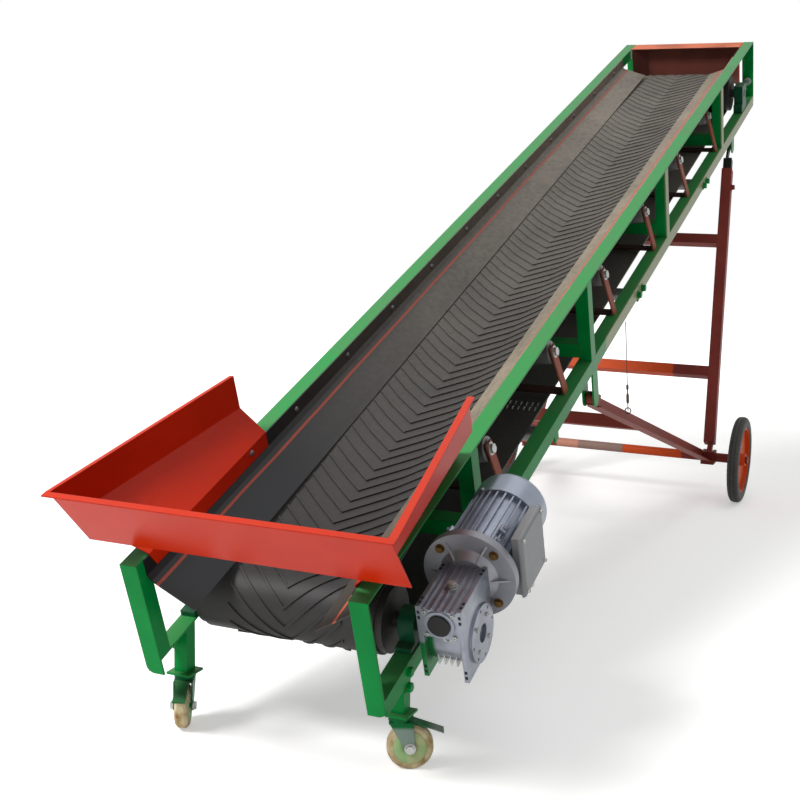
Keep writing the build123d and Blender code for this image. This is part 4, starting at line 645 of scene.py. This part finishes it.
# Feed hopper: 3 mm sheet, folded and welded, bolted inside the chords over the skirts.
# It is sprayed red; the flange and the folds are rubbed a little.
HOPPER_BOLT = (0.58, 0.283, 0.012)
red_enamel = enamel(
    "red_enamel_on_sheet", colour="#cb2b0a", cloud="#be2509", dust="#d4705a", chip="#8a2c1e",
    gloss=0.26, wear=0.2, top_tint=0.25,
)
dress(red_enamel, "hopper_left", "hopper_right", "hopper_front")
make_piece(
    "hopper_bolts",
    [turned(deck(*HOPPER_BOLT) * (1, side, 1), -side * LEFTWARDS, CUP_HEAD, CUP_STEPS) for side in SIDES],
    dull_steel, "frame",
)

# Discharge baffle: folded plate between the head posts, in red primer, dark red-brown on its face.
# Its top flange is salmon as a painted highlight on upward faces, and its right return is bright orange as
# painted sunlight.
RIGHT_RETURN = (0.283, 0.345)
baffle_primer = enamel(
    "baffle_primer_painted_highlights", colour="#6b3a31", cloud="#532c27", dust="#e88a6c", chip="#43261f",
    gloss=0.5, top_tint=2.0,
)
# The right return's bright orange is painted sunlight on that side.
overpainted(baffle_primer, "#dd562b", ((-LEFTWARDS, *RIGHT_RETURN),))
dress(baffle_primer, "discharge_baffle")

# Worm gearbox: pressure die-cast aluminium, shot blasted, with machined faces, hung on the drive shaft.
# A rubber cap closes the worm's end, and the frame's green spray has caught the inner plate.
CAST_CLOUD = 0.04
CAST_EDGE = 0.0025
SPRAYED_ACROSS = (-0.405, 0.0)
SPRAYED_DEPTH = (0.215, 0.5)


def cast_metal(name, colour, shade, metallic, roughness, grit):
    """Die-cast aluminium: grey metal with darker 40 mm clouds and a blasted grain of the given size."""
    material, tree, shader, place = new_material(name)
    clouds = add_node(tree, "ShaderNodeTexNoise", {"Vector": place, "Scale": 1 / CAST_CLOUD, "Detail": 5.0})
    grain = add_node(tree, "ShaderNodeTexNoise", {"Vector": place, "Scale": 1 / grit, "Detail": 2.0})
    rounded = add_node(tree, "ShaderNodeBevel", {"Radius": CAST_EDGE}, samples=4).outputs["Normal"]
    cloud = clouds.outputs["Fac"]
    tint = add_node(tree, "ShaderNodeMix", {0: cloud, 6: linear(colour), 7: linear(shade)}, data_type="RGBA")
    surface = add_node(
        tree,
        "ShaderNodeBump",
        {"Height": grain.outputs["Fac"], "Normal": rounded, "Strength": 0.2, "Distance": 0.0005},
    )
    tree.links.new(tint.outputs[2], shader.inputs["Base Color"])
    tree.links.new(surface.outputs[0], shader.inputs["Normal"])
    shader.inputs["Metallic"].default_value = metallic
    shader.inputs["Roughness"].default_value = roughness
    return material


sprayed_reach = -FEED_END @ DECK_UP + np.array(SPRAYED_DEPTH)
# The blue cast of its grey is a painted sky reflection.
blasted_aluminium = cast_metal(
    "blasted_die_cast_aluminium", "#a3a8b4", "#6c7079", metallic=0.7, roughness=0.34, grit=0.0025
)
overpainted(
    blasted_aluminium, "#0b6b34", ((LEFTWARDS, *SPRAYED_ACROSS), (-DECK_UP, *sprayed_reach.tolist()))
)
dress(blasted_aluminium, "gearbox_housing")
cap_rubber = dusty_rubber(
    "moulded_cap_rubber", colour="#0f0f10", dust="#2a2a29", shares=(0.3, 0.3), roughness=0.5, grain=0.004
)
dress(cap_rubber, "gearbox_cap")

# Gearbox fittings: cap screws round the worm's end and the hub, a breather plug on top, a level plug,
# cooling ribs cast below, and cored slots in the plates' edges, drawn as thin dark squares of painted shade.
WORM_ACROSS, WORM_DEPTH = -0.441, 0.152
PLATE_MIDDLES = (-0.388, -0.494)
PLATE_FRONT, PLATE_TOP = 0.148, 0.106
CAP_SCREW_REACH = (0.036, 0.032)
HUB_FACE, HUB_SCREW_RADIUS = -0.506, 0.047
LEVEL_PLUG = (0.183, WORM_ACROSS, 0.215)
BREATHER_ALONG, BREATHER_FOOT, BREATHER_NUT = 0.245, 0.112, 0.104
COOLING_RIBS, COOLING_PITCH = np.arange(-2, 3), 0.016
COOLING_ALONG, COOLING_DEPTH = 0.232, 0.281
COOLING_SIZES = (0.046, 0.0040, 0.050, 0.0012)
SLOT_DEPTHS = np.array((0.124, 0.140, 0.288, 0.304))
SLOT_PLACES = np.array((0.165, 0.182, 0.305, 0.320))
SLOT_SIZES = (0.009, 0.007, 0.0006, 0.0003)
SCREW_HEAD = ((0.0055, 0), (0.0055, 0.004), (0.0048, 0.005), (0.0026, 0.005), (0.0026, 0.0025), (0, 0.0025))
PLUG_RING = ((0.006, 0), (0.013, 0), (0.013, 0.007), (0.009, 0.009), (0.006, 0.007), (0.006, 0))
BREATHER = ((0.017, -0.004), (0.017, 0.003), (0.012, 0.004), (0.012, 0.008), (0, 0.008))
SCREW_STEPS, PLUG_STEPS = 16, 24


def block(places, along, across, sizes):
    """Chamfered blocks: rings of four corners at rising heights, drawn in by the chamfer and closed."""
    length, width, height, chamfer = sizes
    places = np.atleast_2d(places)
    outwards = np.cross(along, across)
    ring = np.array((
        (0, 0, 0), (length, width, 0), (length, width, height - chamfer),
        (length - 2 * chamfer, width - 2 * chamfer, height), (0, 0, height),
    ))
    flat = np.array(((-1, -1), (1, -1), (1, 1), (-1, 1))) / 2 * ring[:, None, :2]
    offsets = flat[..., :1] * along + flat[..., 1:] * across + ring[:, None, 2:] * outwards
    points = places[:, None, None] + offsets
    copies = np.arange(len(places))[:, None, None] * len(ring) * 4
    return points.reshape(-1, 3), (grid_quads(len(ring), 4) + copies).reshape(-1, 4)


corner_y, corner_n = np.array((1, 1, -1, -1)), np.array((1, -1, 1, -1))
diagonals = np.radians(45 + 90 * np.arange(4))
cap_screws = deck(
    PLATE_FRONT, WORM_ACROSS + CAP_SCREW_REACH[0] * corner_y, WORM_DEPTH + CAP_SCREW_REACH[1] * corner_n
)
hub_screws = deck(
    DRIVE_DRUM[0] + HUB_SCREW_RADIUS * np.cos(diagonals), HUB_FACE,
    DRIVE_DRUM[1] + HUB_SCREW_RADIUS * np.sin(diagonals),
)
breather_nut = deck(BREATHER_ALONG, WORM_ACROSS, BREATHER_NUT)
cooling_ribs = deck(COOLING_ALONG, WORM_ACROSS + COOLING_PITCH * COOLING_RIBS, COOLING_DEPTH)
make_piece(
    "gearbox_fittings",
    [
        turned(cap_screws, -UPHILL, SCREW_HEAD, SCREW_STEPS),
        turned(hub_screws, -LEFTWARDS, SCREW_HEAD, SCREW_STEPS),
        turned(deck(*LEVEL_PLUG), -UPHILL, PLUG_RING, PLUG_STEPS),
        turned(deck(BREATHER_ALONG, WORM_ACROSS, BREATHER_FOOT), DECK_UP, BREATHER, PLUG_STEPS),
        *hex_nut(breather_nut, DECK_UP, across=0.018, thickness=0.008),
        block(cooling_ribs, DECK_UP, LEFTWARDS, COOLING_SIZES),
    ],
    zinc_plate, "frame", sharp=25.0,
)
front_slots = np.concatenate([deck(PLATE_FRONT, middle, SLOT_DEPTHS) for middle in PLATE_MIDDLES])
top_slots = np.concatenate([deck(SLOT_PLACES, middle, PLATE_TOP) for middle in PLATE_MIDDLES])
# The slots are thin dark blocks standing proud of the plates: painted shade for the hollows.
hollow_shade_paint = cast_metal("painted_shade_for_hollows", "#26272a", "#1a1b1d", metallic=0.6, roughness=0.6, grit=0.002)
make_piece(
    "gearbox_cored_slots",
    [block(front_slots, DECK_UP, LEFTWARDS, SLOT_SIZES), block(top_slots, UPHILL, LEFTWARDS, SLOT_SIZES)],
    hollow_shade_paint, "frame",
)

# Motor: finned aluminium shell, flange and pressed steel fan cover, all sprayed silver grey; the blue cast of
# the shell and cover is a painted sky reflection.
# The flange bolts to the gearbox. The terminal box on its side is grey moulded plastic.
silver_paint = cast_metal(
    "silver_grey_motor_paint", "#a2a9b8", "#868d9b", metallic=0.5, roughness=0.34, grit=0.003
)
dress(silver_paint, "motor_body")
flange_paint = cast_metal(
    "dull_silver_flange_paint", "#979aa1", "#84868c", metallic=0.4, roughness=0.42, grit=0.003
)
dress(flange_paint, "motor_flange")
cover_paint = cast_metal(
    "gloss_silver_cover_paint", "#98a0ae", "#868d9a", metallic=0.6, roughness=0.28, grit=0.004
)
dress(cover_paint, "fan_cover")
box_paint = cast_metal("grey_box_plastic", "#85878a", "#77797b", metallic=0.0, roughness=0.42, grit=0.002)
dress(box_paint, "terminal_box")

# Motor fittings: yellow passivated flange bolts, pads on the shell, cover screws and the grille over the fan.
# The grille is welded wire, with a thin dark disc behind it as painted shade in the fan opening.
FLANGE_FACE, FLANGE_BOLT_RADIUS = 0.352, 0.101
PAD_ALONG = np.array((0.400, 0.455, 0.400, 0.455))
PAD_TURN = np.radians(np.array((58.0, 58.0, -38.0, -38.0)))
PAD_FOOT, PAD_HEAD = 0.094, 0.107
PAD_SIZES = (0.024, 0.020, 0.013, 0.003)
COVER_SCREW_ALONG, COVER_RADIUS = 0.612, 0.0995
COVER_TURN = np.radians(30 + 90 * np.arange(4))
COVER_END = 0.700
GRILLE_RADII = (0.028, 0.046, 0.064)
GRILLE_WIRE, GRILLE_SIDES, GRILLE_STEPS = 0.002, 8, 49
SPOKE_REACH, SPOKE_STEPS = (0.008, 0.070), 6
SPOKE_TURNS = np.radians(60 * np.arange(6))
FAN_SHADE, FAN_STEPS = ((0.071, -0.0004), (0.071, 0.0004), (0, 0.0004)), 48


def round_motor(along, radius, angle):
    """Place on a circle round the motor's axis, along the frame: radius (up cos(angle) + left sin(angle))."""
    return deck(along, WORM_ACROSS + radius * np.sin(angle), WORM_DEPTH - radius * np.cos(angle))


def from_axis(angle):
    """Unit vectors away from the motor's axis at the given angles from upright."""
    return np.cos(angle)[:, None] * DECK_UP + np.sin(angle)[:, None] * LEFTWARDS


yellow_zinc = turned_steel("yellow_passivated_bolt", "#836637", "#4d3a22", roughness=0.45)
flange_places = round_motor(FLANGE_FACE, FLANGE_BOLT_RADIUS, diagonals)
make_piece(
    "flange_bolts", hex_nut(flange_places, -UPHILL, across=0.017, thickness=0.010),
    yellow_zinc, "frame", sharp=20.0,
)
pads = [
    block(place, UPHILL, np.cross(out, UPHILL), PAD_SIZES)
    for place, out in zip(round_motor(PAD_ALONG, PAD_FOOT, PAD_TURN), from_axis(PAD_TURN))
]
pad_heads = round_motor(PAD_ALONG, PAD_HEAD, PAD_TURN)
cover_screws = round_motor(COVER_SCREW_ALONG, COVER_RADIUS, COVER_TURN)
make_piece(
    "motor_pads",
    [
        *pads,
        turned(pad_heads, from_axis(PAD_TURN), SCREW_HEAD, SCREW_STEPS),
        turned(cover_screws, from_axis(COVER_TURN), SCREW_HEAD, SCREW_STEPS),
    ],
    silver_paint, "frame",
)
ring_turn = np.linspace(0, 2 * np.pi, GRILLE_STEPS)
spoke_reach = np.linspace(*SPOKE_REACH, SPOKE_STEPS)
grille_paths = [round_motor(COVER_END, radius, ring_turn) for radius in GRILLE_RADII]
grille_paths += [round_motor(COVER_END, spoke_reach, angle) for angle in SPOKE_TURNS]
make_piece(
    "fan_grille", [carried(path, GRILLE_WIRE, GRILLE_SIDES) for path in grille_paths],
    cover_paint, "frame",
)
# The dark disc under the grille is painted shade for the fan opening.
make_piece(
    "fan_opening", [turned(deck(COVER_END, WORM_ACROSS, WORM_DEPTH), UPHILL, FAN_SHADE, FAN_STEPS)],
    hollow_shade_paint, "frame",
)

# Terminal box fittings: four zinc plated screws hold the lid.
# A cable gland is screwed in below, and has no cable in it.
BOX_MIDDLE, LID_FACE = (0.4795, 0.1435), -0.572
LID_REACH = (0.069, 0.075)
GLAND_PLACE = (0.480, -0.553, 0.232)
GLAND = (
    (0.013, -0.002), (0.013, 0.006), (0.010, 0.007), (0.010, 0.022),
    (0.0065, 0.024), (0.0065, 0.010), (0, 0.010),
)
lid_screws = deck(BOX_MIDDLE[0] + LID_REACH[0] * corner_y, LID_FACE, BOX_MIDDLE[1] + LID_REACH[1] * corner_n)
make_piece(
    "terminal_box_fittings",
    [
        turned(lid_screws, -LEFTWARDS, SCREW_HEAD, SCREW_STEPS),
        turned(deck(*GLAND_PLACE), -DECK_UP, GLAND, PLUG_STEPS),
    ],
    zinc_plate, "frame",
)

# Castors: pressed steel forks, zinc plated and caught by the green spray, on cream nylon wheels.
# A nut at each end of the axle holds the wheel, whose flanks are caught by the spray as well.
UPWARDS = np.array((0.0, 0.0, 1.0))
FORK_TOP = (0.112, 0.3)
CASTOR_ALONG = -2.078617
CASTOR_TRAIL, CASTOR_RADIUS = 0.028, 0.059
WHEEL_FLANK, FORK_FLANK = 0.017, 0.026
SPRAY_RING = ((0.016, -0.0004), (0.043, -0.0004), (0.041, 0.001), (0.018, 0.001), (0.016, -0.0004))
SPRAY_STEPS = 40
sprayed_fork = enamel(
    "green_sprayed_fork", colour="#12703f", cloud="#0d5c33", dust="#9fb98c", chip="#6a5138", gloss=0.4
)
dress(sprayed_fork, "castor_fork_left")
fork_zinc = enamel(
    "oversprayed_zinc_fork", colour="#93a39c", cloud="#7f9388", dust="#a9b39a", chip="#6a5138", gloss=0.4
)
overpainted(fork_zinc, "#0d6a38", ((UPWARDS, *FORK_TOP),))
dress(fork_zinc, "castor_fork_right")
nylon = enamel(
    "cream_nylon_with_grime", colour="#ddd2ab", cloud="#8f6a38", dust="#c9bd95", chip="#8a6a3c",
    gloss=0.5, cloud_size=0.03,
)
dress(nylon, "castor_wheel_left", "castor_wheel_right")
overspray = enamel(
    "green_overspray_on_nylon", colour="#8fbf80", cloud="#cfc79a", dust="#8fae86", chip="#8a6a3c",
    gloss=0.5, cloud_size=0.04,
)
for name, side, heading in (("left", 1, np.radians(204.3)), ("right", -1, np.radians(294.3))):
    foot = np.array((CASTOR_ALONG, side * CHORD_MIDDLE, 0.0))
    trail = CASTOR_TRAIL * np.array((np.cos(heading), np.sin(heading), 0))
    hub = foot + trail + CASTOR_RADIUS * UPWARDS
    aside = np.array((-np.sin(heading), np.cos(heading), 0))
    both = np.array((aside, -aside))
    make_piece(
        f"castor_spray_{name}", [turned(hub + both * WHEEL_FLANK, both, SPRAY_RING, SPRAY_STEPS)],
        overspray, f"castor_wheel_{name}",
    )
    make_piece(
        f"castor_nuts_{name}", hex_nut(hub + both * FORK_FLANK, both, across=0.019, thickness=0.009),
        zinc_plate, f"castor_fork_{name}", sharp=20.0,
    )

# Castor legs: square tube bolted to the lower chords, two bolts to each leg.
# The heads are painted over with the frame.
LEG_BOLT_HEIGHTS = (0.215, 0.255)
leg_bolts = []
for side in SIDES:
    places = np.array([(CASTOR_ALONG, side * CHORD_WEB, height) for height in LEG_BOLT_HEIGHTS])
    leg_bolts += hex_nut(places, side * LEFTWARDS, across=0.022, thickness=0.014)
make_piece("castor_leg_bolts", leg_bolts, green_enamel, "frame", sharp=20.0)

# Wheeled support: braces, axle and telescopic legs of angle and tube, welded and left in red oxide primer.
# The primer is matt and brown-red. A leg tie and the axle carry patches of orange, grey and salmon spray,
# and the inner legs are dark with grease.
ORANGE_TIE = ((LEFTWARDS, -0.215, 0.6), (UPWARDS, 0.0, 0.8))
AXLE_SPRAYS = (("#cf5128", -0.315, -0.03), ("#93796f", -0.03, 0.19), ("#c58a76", 0.19, 0.30))
oxide_primer = enamel(
    "red_oxide_primer", colour="#93423a", cloud="#7f3831", dust="#8c6154", chip="#43261f",
    gloss=0.45, top_tint=0.1,
)
dress(oxide_primer, "leg_tubes")
leg_steel = enamel(
    "greased_dark_leg_steel", colour="#27302b", cloud="#1d2320", dust="#5c5a50", chip="#4a3a2c", gloss=0.4
)
dress(leg_steel, "leg_inner_left", "leg_inner_right")
brace_primer = enamel(
    "thin_oxide_primer", colour="#9a4a3e", cloud="#843b33", dust="#9a7264", chip="#43261f",
    gloss=0.48, top_tint=0.1,
)
dress(brace_primer, "braces", "brace_tie")
SHADED_PRIMER = {"colour": "#8a3f38", "cloud": "#76352f", "dust": "#94685a", "chip": "#43261f", "gloss": 0.45}
tie_primer = enamel("oxide_primer_under_orange", **SHADED_PRIMER)
overpainted(tie_primer, "#d4532a", ORANGE_TIE)
dress(tie_primer, "leg_ties")
axle_primer = enamel("oxide_primer_with_trial_sprays", **SHADED_PRIMER)
for colour, low, high in AXLE_SPRAYS:
    overpainted(axle_primer, colour, ((LEFTWARDS, low, high),))
dress(axle_primer, "axle")

# Leg locks: a set bolt near the top of each outer tube grips the inner one.
# The bolts are primed with the tubes, so they show the same matt brown-red.
AXLE_PLACE = np.array((1.22137, 0.0, 0.200))
LEG_PIN = np.array((1.97607, 0.0, 1.65375))
LEG_FOOT_ACROSS = 0.440
LOCK_SHARE, TUBE_FACE = 0.86, 0.025
for side, name in zip(SIDES, ("left", "right")):
    leg_foot = AXLE_PLACE + side * LEG_FOOT_ACROSS * LEFTWARDS
    leg_line = LEG_PIN + side * CHORD_MIDDLE * LEFTWARDS - leg_foot
    leg_run = leg_line / np.linalg.norm(leg_line)
    outwards = side * LEFTWARDS - leg_run * (side * LEFTWARDS @ leg_run)
    outwards /= np.linalg.norm(outwards)
    lock_place = leg_foot + leg_line * LOCK_SHARE + outwards * TUBE_FACE
    make_piece(
        f"leg_lock_{name}", hex_nut(lock_place, outwards, across=0.024, thickness=0.016),
        oxide_primer, "leg_outer", sharp=20.0,
    )

# Tether: a rusty wire from the right lower chord to a ring on the right brace.
# A clamp is swaged on it above the ring. It stretches between the frame and the support.
TETHER_TOP = np.array((-0.0706, -0.3375, 0.9465))
TETHER_FOOT = np.array((0.0170, -0.3410, 0.5930))
TETHER_WIRE, SWAGE_WALL, TETHER_STEPS, TETHER_SIDES = 0.0016, 0.0034, 81, 10
SWAGE_SHARES = (0.70, 0.71, 0.75, 0.76, 0.80, 0.82, 0.90, 0.92)
SWAGE_WALLS = (0, 1, 1, 0.3, 0.3, 1.2, 1.2, 0)
RING_RADIUS, RING_WIRE, RING_STEPS, RING_SIDES = 0.011, 0.0022, 33, 8
tether_share = np.linspace(0, 1, TETHER_STEPS)
swage = np.interp(tether_share, SWAGE_SHARES, SWAGE_WALLS)
tether_path = TETHER_TOP + (TETHER_FOOT - TETHER_TOP) * tether_share[:, None]
tether_turn = np.linspace(0, 2 * np.pi, RING_STEPS)[:, None]
tether_ring = TETHER_FOOT + RING_RADIUS * (np.sin(tether_turn) * LEFTWARDS + np.cos(tether_turn) * UPWARDS)
tether_steel = turned_steel("rusty_tether_wire", "#6f6156", "#4a382c", roughness=0.6)
tether = make_piece(
    "brace_tether",
    [
        carried(tether_path, TETHER_WIRE + SWAGE_WALL * swage, TETHER_SIDES),
        carried(tether_ring, RING_WIRE, RING_SIDES),
    ],
    tether_steel, None,
)
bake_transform(tether)

# Main wheels: solid rubber tyres with two grooves and notched shoulders, pressed on steel rims.
# The rubber is dull and grey with dust, and the rims are in orange-red paint.
WHEEL_ACROSS = 0.582
TREAD_LUGS, LUG_STEPS, LUG_DEPTH = 60, 4, 0.004
TYRE_SECTION = np.array((
    (-0.0200, 0.1500, 0), (-0.0240, 0.1530, 0), (-0.0250, 0.1600, 0), (-0.0250, 0.1800, 0),
    (-0.0235, 0.1880, 1), (-0.0180, 0.1955, 1), (-0.0125, 0.1985, 1), (-0.0100, 0.1992, 0),
    (-0.0095, 0.1960, 0), (-0.0075, 0.1960, 0), (-0.0070, 0.1997, 0), (0.0, 0.2, 0),
    (0.0070, 0.1997, 0), (0.0075, 0.1960, 0), (0.0095, 0.1960, 0), (0.0100, 0.1992, 0),
    (0.0125, 0.1985, 2), (0.0180, 0.1955, 2), (0.0235, 0.1880, 2), (0.0250, 0.1800, 0),
    (0.0250, 0.1600, 0), (0.0240, 0.1530, 0), (0.0200, 0.1500, 0), (-0.0200, 0.1500, 0),
))
tyre_rubber = dusty_rubber(
    "solid_tyre_rubber", colour="#26272a", dust="#6b6963", shares=(0.45, 0.45), roughness=0.6, grain=0.01
)


def tyre(centre):
    """Section turned about the wheel's axis, from rows of place across, radius and shoulder.

    Shoulder 1 drops by the lug depth at the first of each lug's four steps, and shoulder 2 at the third.
    """
    across, radius, shoulder = TYRE_SECTION.T[:, :, None]
    step = np.arange(TREAD_LUGS * LUG_STEPS)
    angle = 2 * np.pi * step / len(step)
    lug = step % LUG_STEPS
    notched = (shoulder == 1) & (lug == 0) | (shoulder == 2) & (lug == LUG_STEPS // 2)
    reach = radius - LUG_DEPTH * notched
    spoke = np.cos(angle)[:, None] * ALONG_FLOOR + np.sin(angle)[:, None] * UPWARDS
    points = centre + across[..., None] * LEFTWARDS + reach[..., None] * spoke
    return points.reshape(-1, 3), grid_quads(len(TYRE_SECTION), len(step))


for side, name in zip(SIDES, ("left", "right")):
    tyre_piece = make_piece(
        f"treaded_tyre_{name}", [tyre(AXLE_PLACE + side * WHEEL_ACROSS * LEFTWARDS)],
        tyre_rubber, f"wheel_{name}",
    )
    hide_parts(f"tyre_{name}")
rim_paint = enamel(
    "orange_red_rim_paint", colour="#e4622f", cloud="#d45228", dust="#d39a80", chip="#5a3026", gloss=0.4
)
dress(rim_paint, "rim_left", "rim_right")

# Stage: a pale studio floor that fades into a white backdrop, with soft light from above and in front.
# The floor and backdrop look white, and light the object less than they seem to.
FLOOR_HALF = 30.0
FLOOR_FADE = (6.0, 16.0)
FLOOR_GLOW, GLOW_SHARES = (2.4, 5.5), (0.4, 1.0)
FILL_STRENGTH, BACKDROP_STRENGTH = 0.3, 1.0
WHITE = (1.0, 1.0, 1.0, 1.0)


def seen_directly(tree):
    """1 where a ray comes from the camera, a mirror or glass, and 0 where it only lights the object."""
    rays = add_node(tree, "ShaderNodeLightPath", {}).outputs
    seen = rays["Is Camera Ray"]
    for kind in ("Is Glossy Ray", "Is Transmission Ray"):
        seen = add_node(tree, "ShaderNodeMath", {0: seen, 1: rays[kind]}, operation="MAXIMUM").outputs[0]
    return seen


def pale_floor():
    """Matt floor paper: white to the eye, with the shadow kept near the object and clear towards its rim."""
    material, tree, shader, place = new_material("pale_floor_paper")
    away = add_node(tree, "ShaderNodeVectorMath", {0: place}, operation="LENGTH").outputs["Value"]
    solid = add_node(
        tree,
        "ShaderNodeMapRange",
        {"Value": away, "From Min": FLOOR_FADE[0], "From Max": FLOOR_FADE[1], "To Min": 1.0, "To Max": 0.0},
        interpolation_type="SMOOTHSTEP",
    )
    low, high = GLOW_SHARES
    glow = add_node(
        tree,
        "ShaderNodeMapRange",
        {"Value": away, "From Min": FLOOR_GLOW[0], "From Max": FLOOR_GLOW[1], "To Min": low, "To Max": high},
        interpolation_type="SMOOTHSTEP",
    )
    shown = add_node(
        tree, "ShaderNodeMath", {0: glow.outputs[0], 1: seen_directly(tree)}, operation="MULTIPLY"
    )
    shader.inputs["Base Color"].default_value = linear("#fbfbfa")
    shader.inputs["Roughness"].default_value = 0.9
    shader.inputs["Specular IOR Level"].default_value = 0.1
    shader.inputs["Emission Color"].default_value = WHITE
    tree.links.new(solid.outputs[0], shader.inputs["Alpha"])
    tree.links.new(shown.outputs[0], shader.inputs["Emission Strength"])
    return material


floor_mesh = bpy.data.meshes.new("floor")
corners = FLOOR_HALF * np.array(((-1, -1, 0), (1, -1, 0), (1, 1, 0), (-1, 1, 0)))
floor_mesh.from_pydata(corners.tolist(), [], [(0, 1, 2, 3)])
floor_mesh.materials.append(pale_floor())
floor = bpy.data.objects.new("floor", floor_mesh)
bpy.context.scene.collection.objects.link(floor)

world = bpy.data.worlds.new("studio_white")
world.use_nodes = True
bpy.context.scene.world = world
sky = world.node_tree
strength = add_node(
    sky,
    "ShaderNodeMapRange",
    {"Value": seen_directly(sky), "To Min": FILL_STRENGTH, "To Max": BACKDROP_STRENGTH},
)
backdrop = sky.nodes["Background"]
backdrop.inputs["Color"].default_value = WHITE
sky.links.new(strength.outputs[0], backdrop.inputs["Strength"])


def aimed(place, right, back):
    """World matrix of a lamp or camera at a place: its X is to the right, and it looks away from back."""
    turn = Matrix(np.column_stack((right, np.cross(back, right), back)).tolist()).to_4x4()
    return Matrix.Translation(place) @ turn


def soft_lamp(name, place, target, size, power):
    """Square studio softbox at a place, turned to face a target."""
    lamp = bpy.data.lights.new(name, "AREA")
    lamp.size = size
    lamp.energy = power
    made = bpy.data.objects.new(name, lamp)
    towards = np.asarray(target, float) - np.asarray(place, float)
    made.matrix_world = aimed(place, crosswise(towards)[0], -towards / np.linalg.norm(towards))
    bpy.context.scene.collection.objects.link(made)


soft_lamp("key_softbox", place=(-5.5, 3.0, 6.0), target=(-0.3, 0.0, 0.7), size=2.5, power=540.0)
soft_lamp("top_softbox", place=(0.5, -1.5, 7.5), target=(0.2, 0.0, 0.8), size=5.0, power=90.0)

# Camera: at the photograph's place, on the feed end's right.
# Its place, turn and lens were solved from the edges of the frame.
CAMERA_PLACE = (-4.9354, -1.5597, 1.4487)
CAMERA_RIGHT = np.array((0.4059, -0.9137, 0.0182))
CAMERA_LOOK = np.array((0.9028, 0.3978, -0.1631))
LENS, SENSOR_WIDTH = 59.34, 36.0
lens = bpy.data.cameras.new("camera")
lens.lens = LENS
lens.sensor_width = SENSOR_WIDTH
camera = bpy.data.objects.new("camera", lens)
back = -CAMERA_LOOK / np.linalg.norm(CAMERA_LOOK)
right = CAMERA_RIGHT - back * (CAMERA_RIGHT @ back)
camera.matrix_world = aimed(CAMERA_PLACE, right / np.linalg.norm(right), back)
bpy.context.scene.collection.objects.link(camera)
bpy.context.scene.camera = camera
bpy.context.scene.view_settings.view_transform = "Standard"
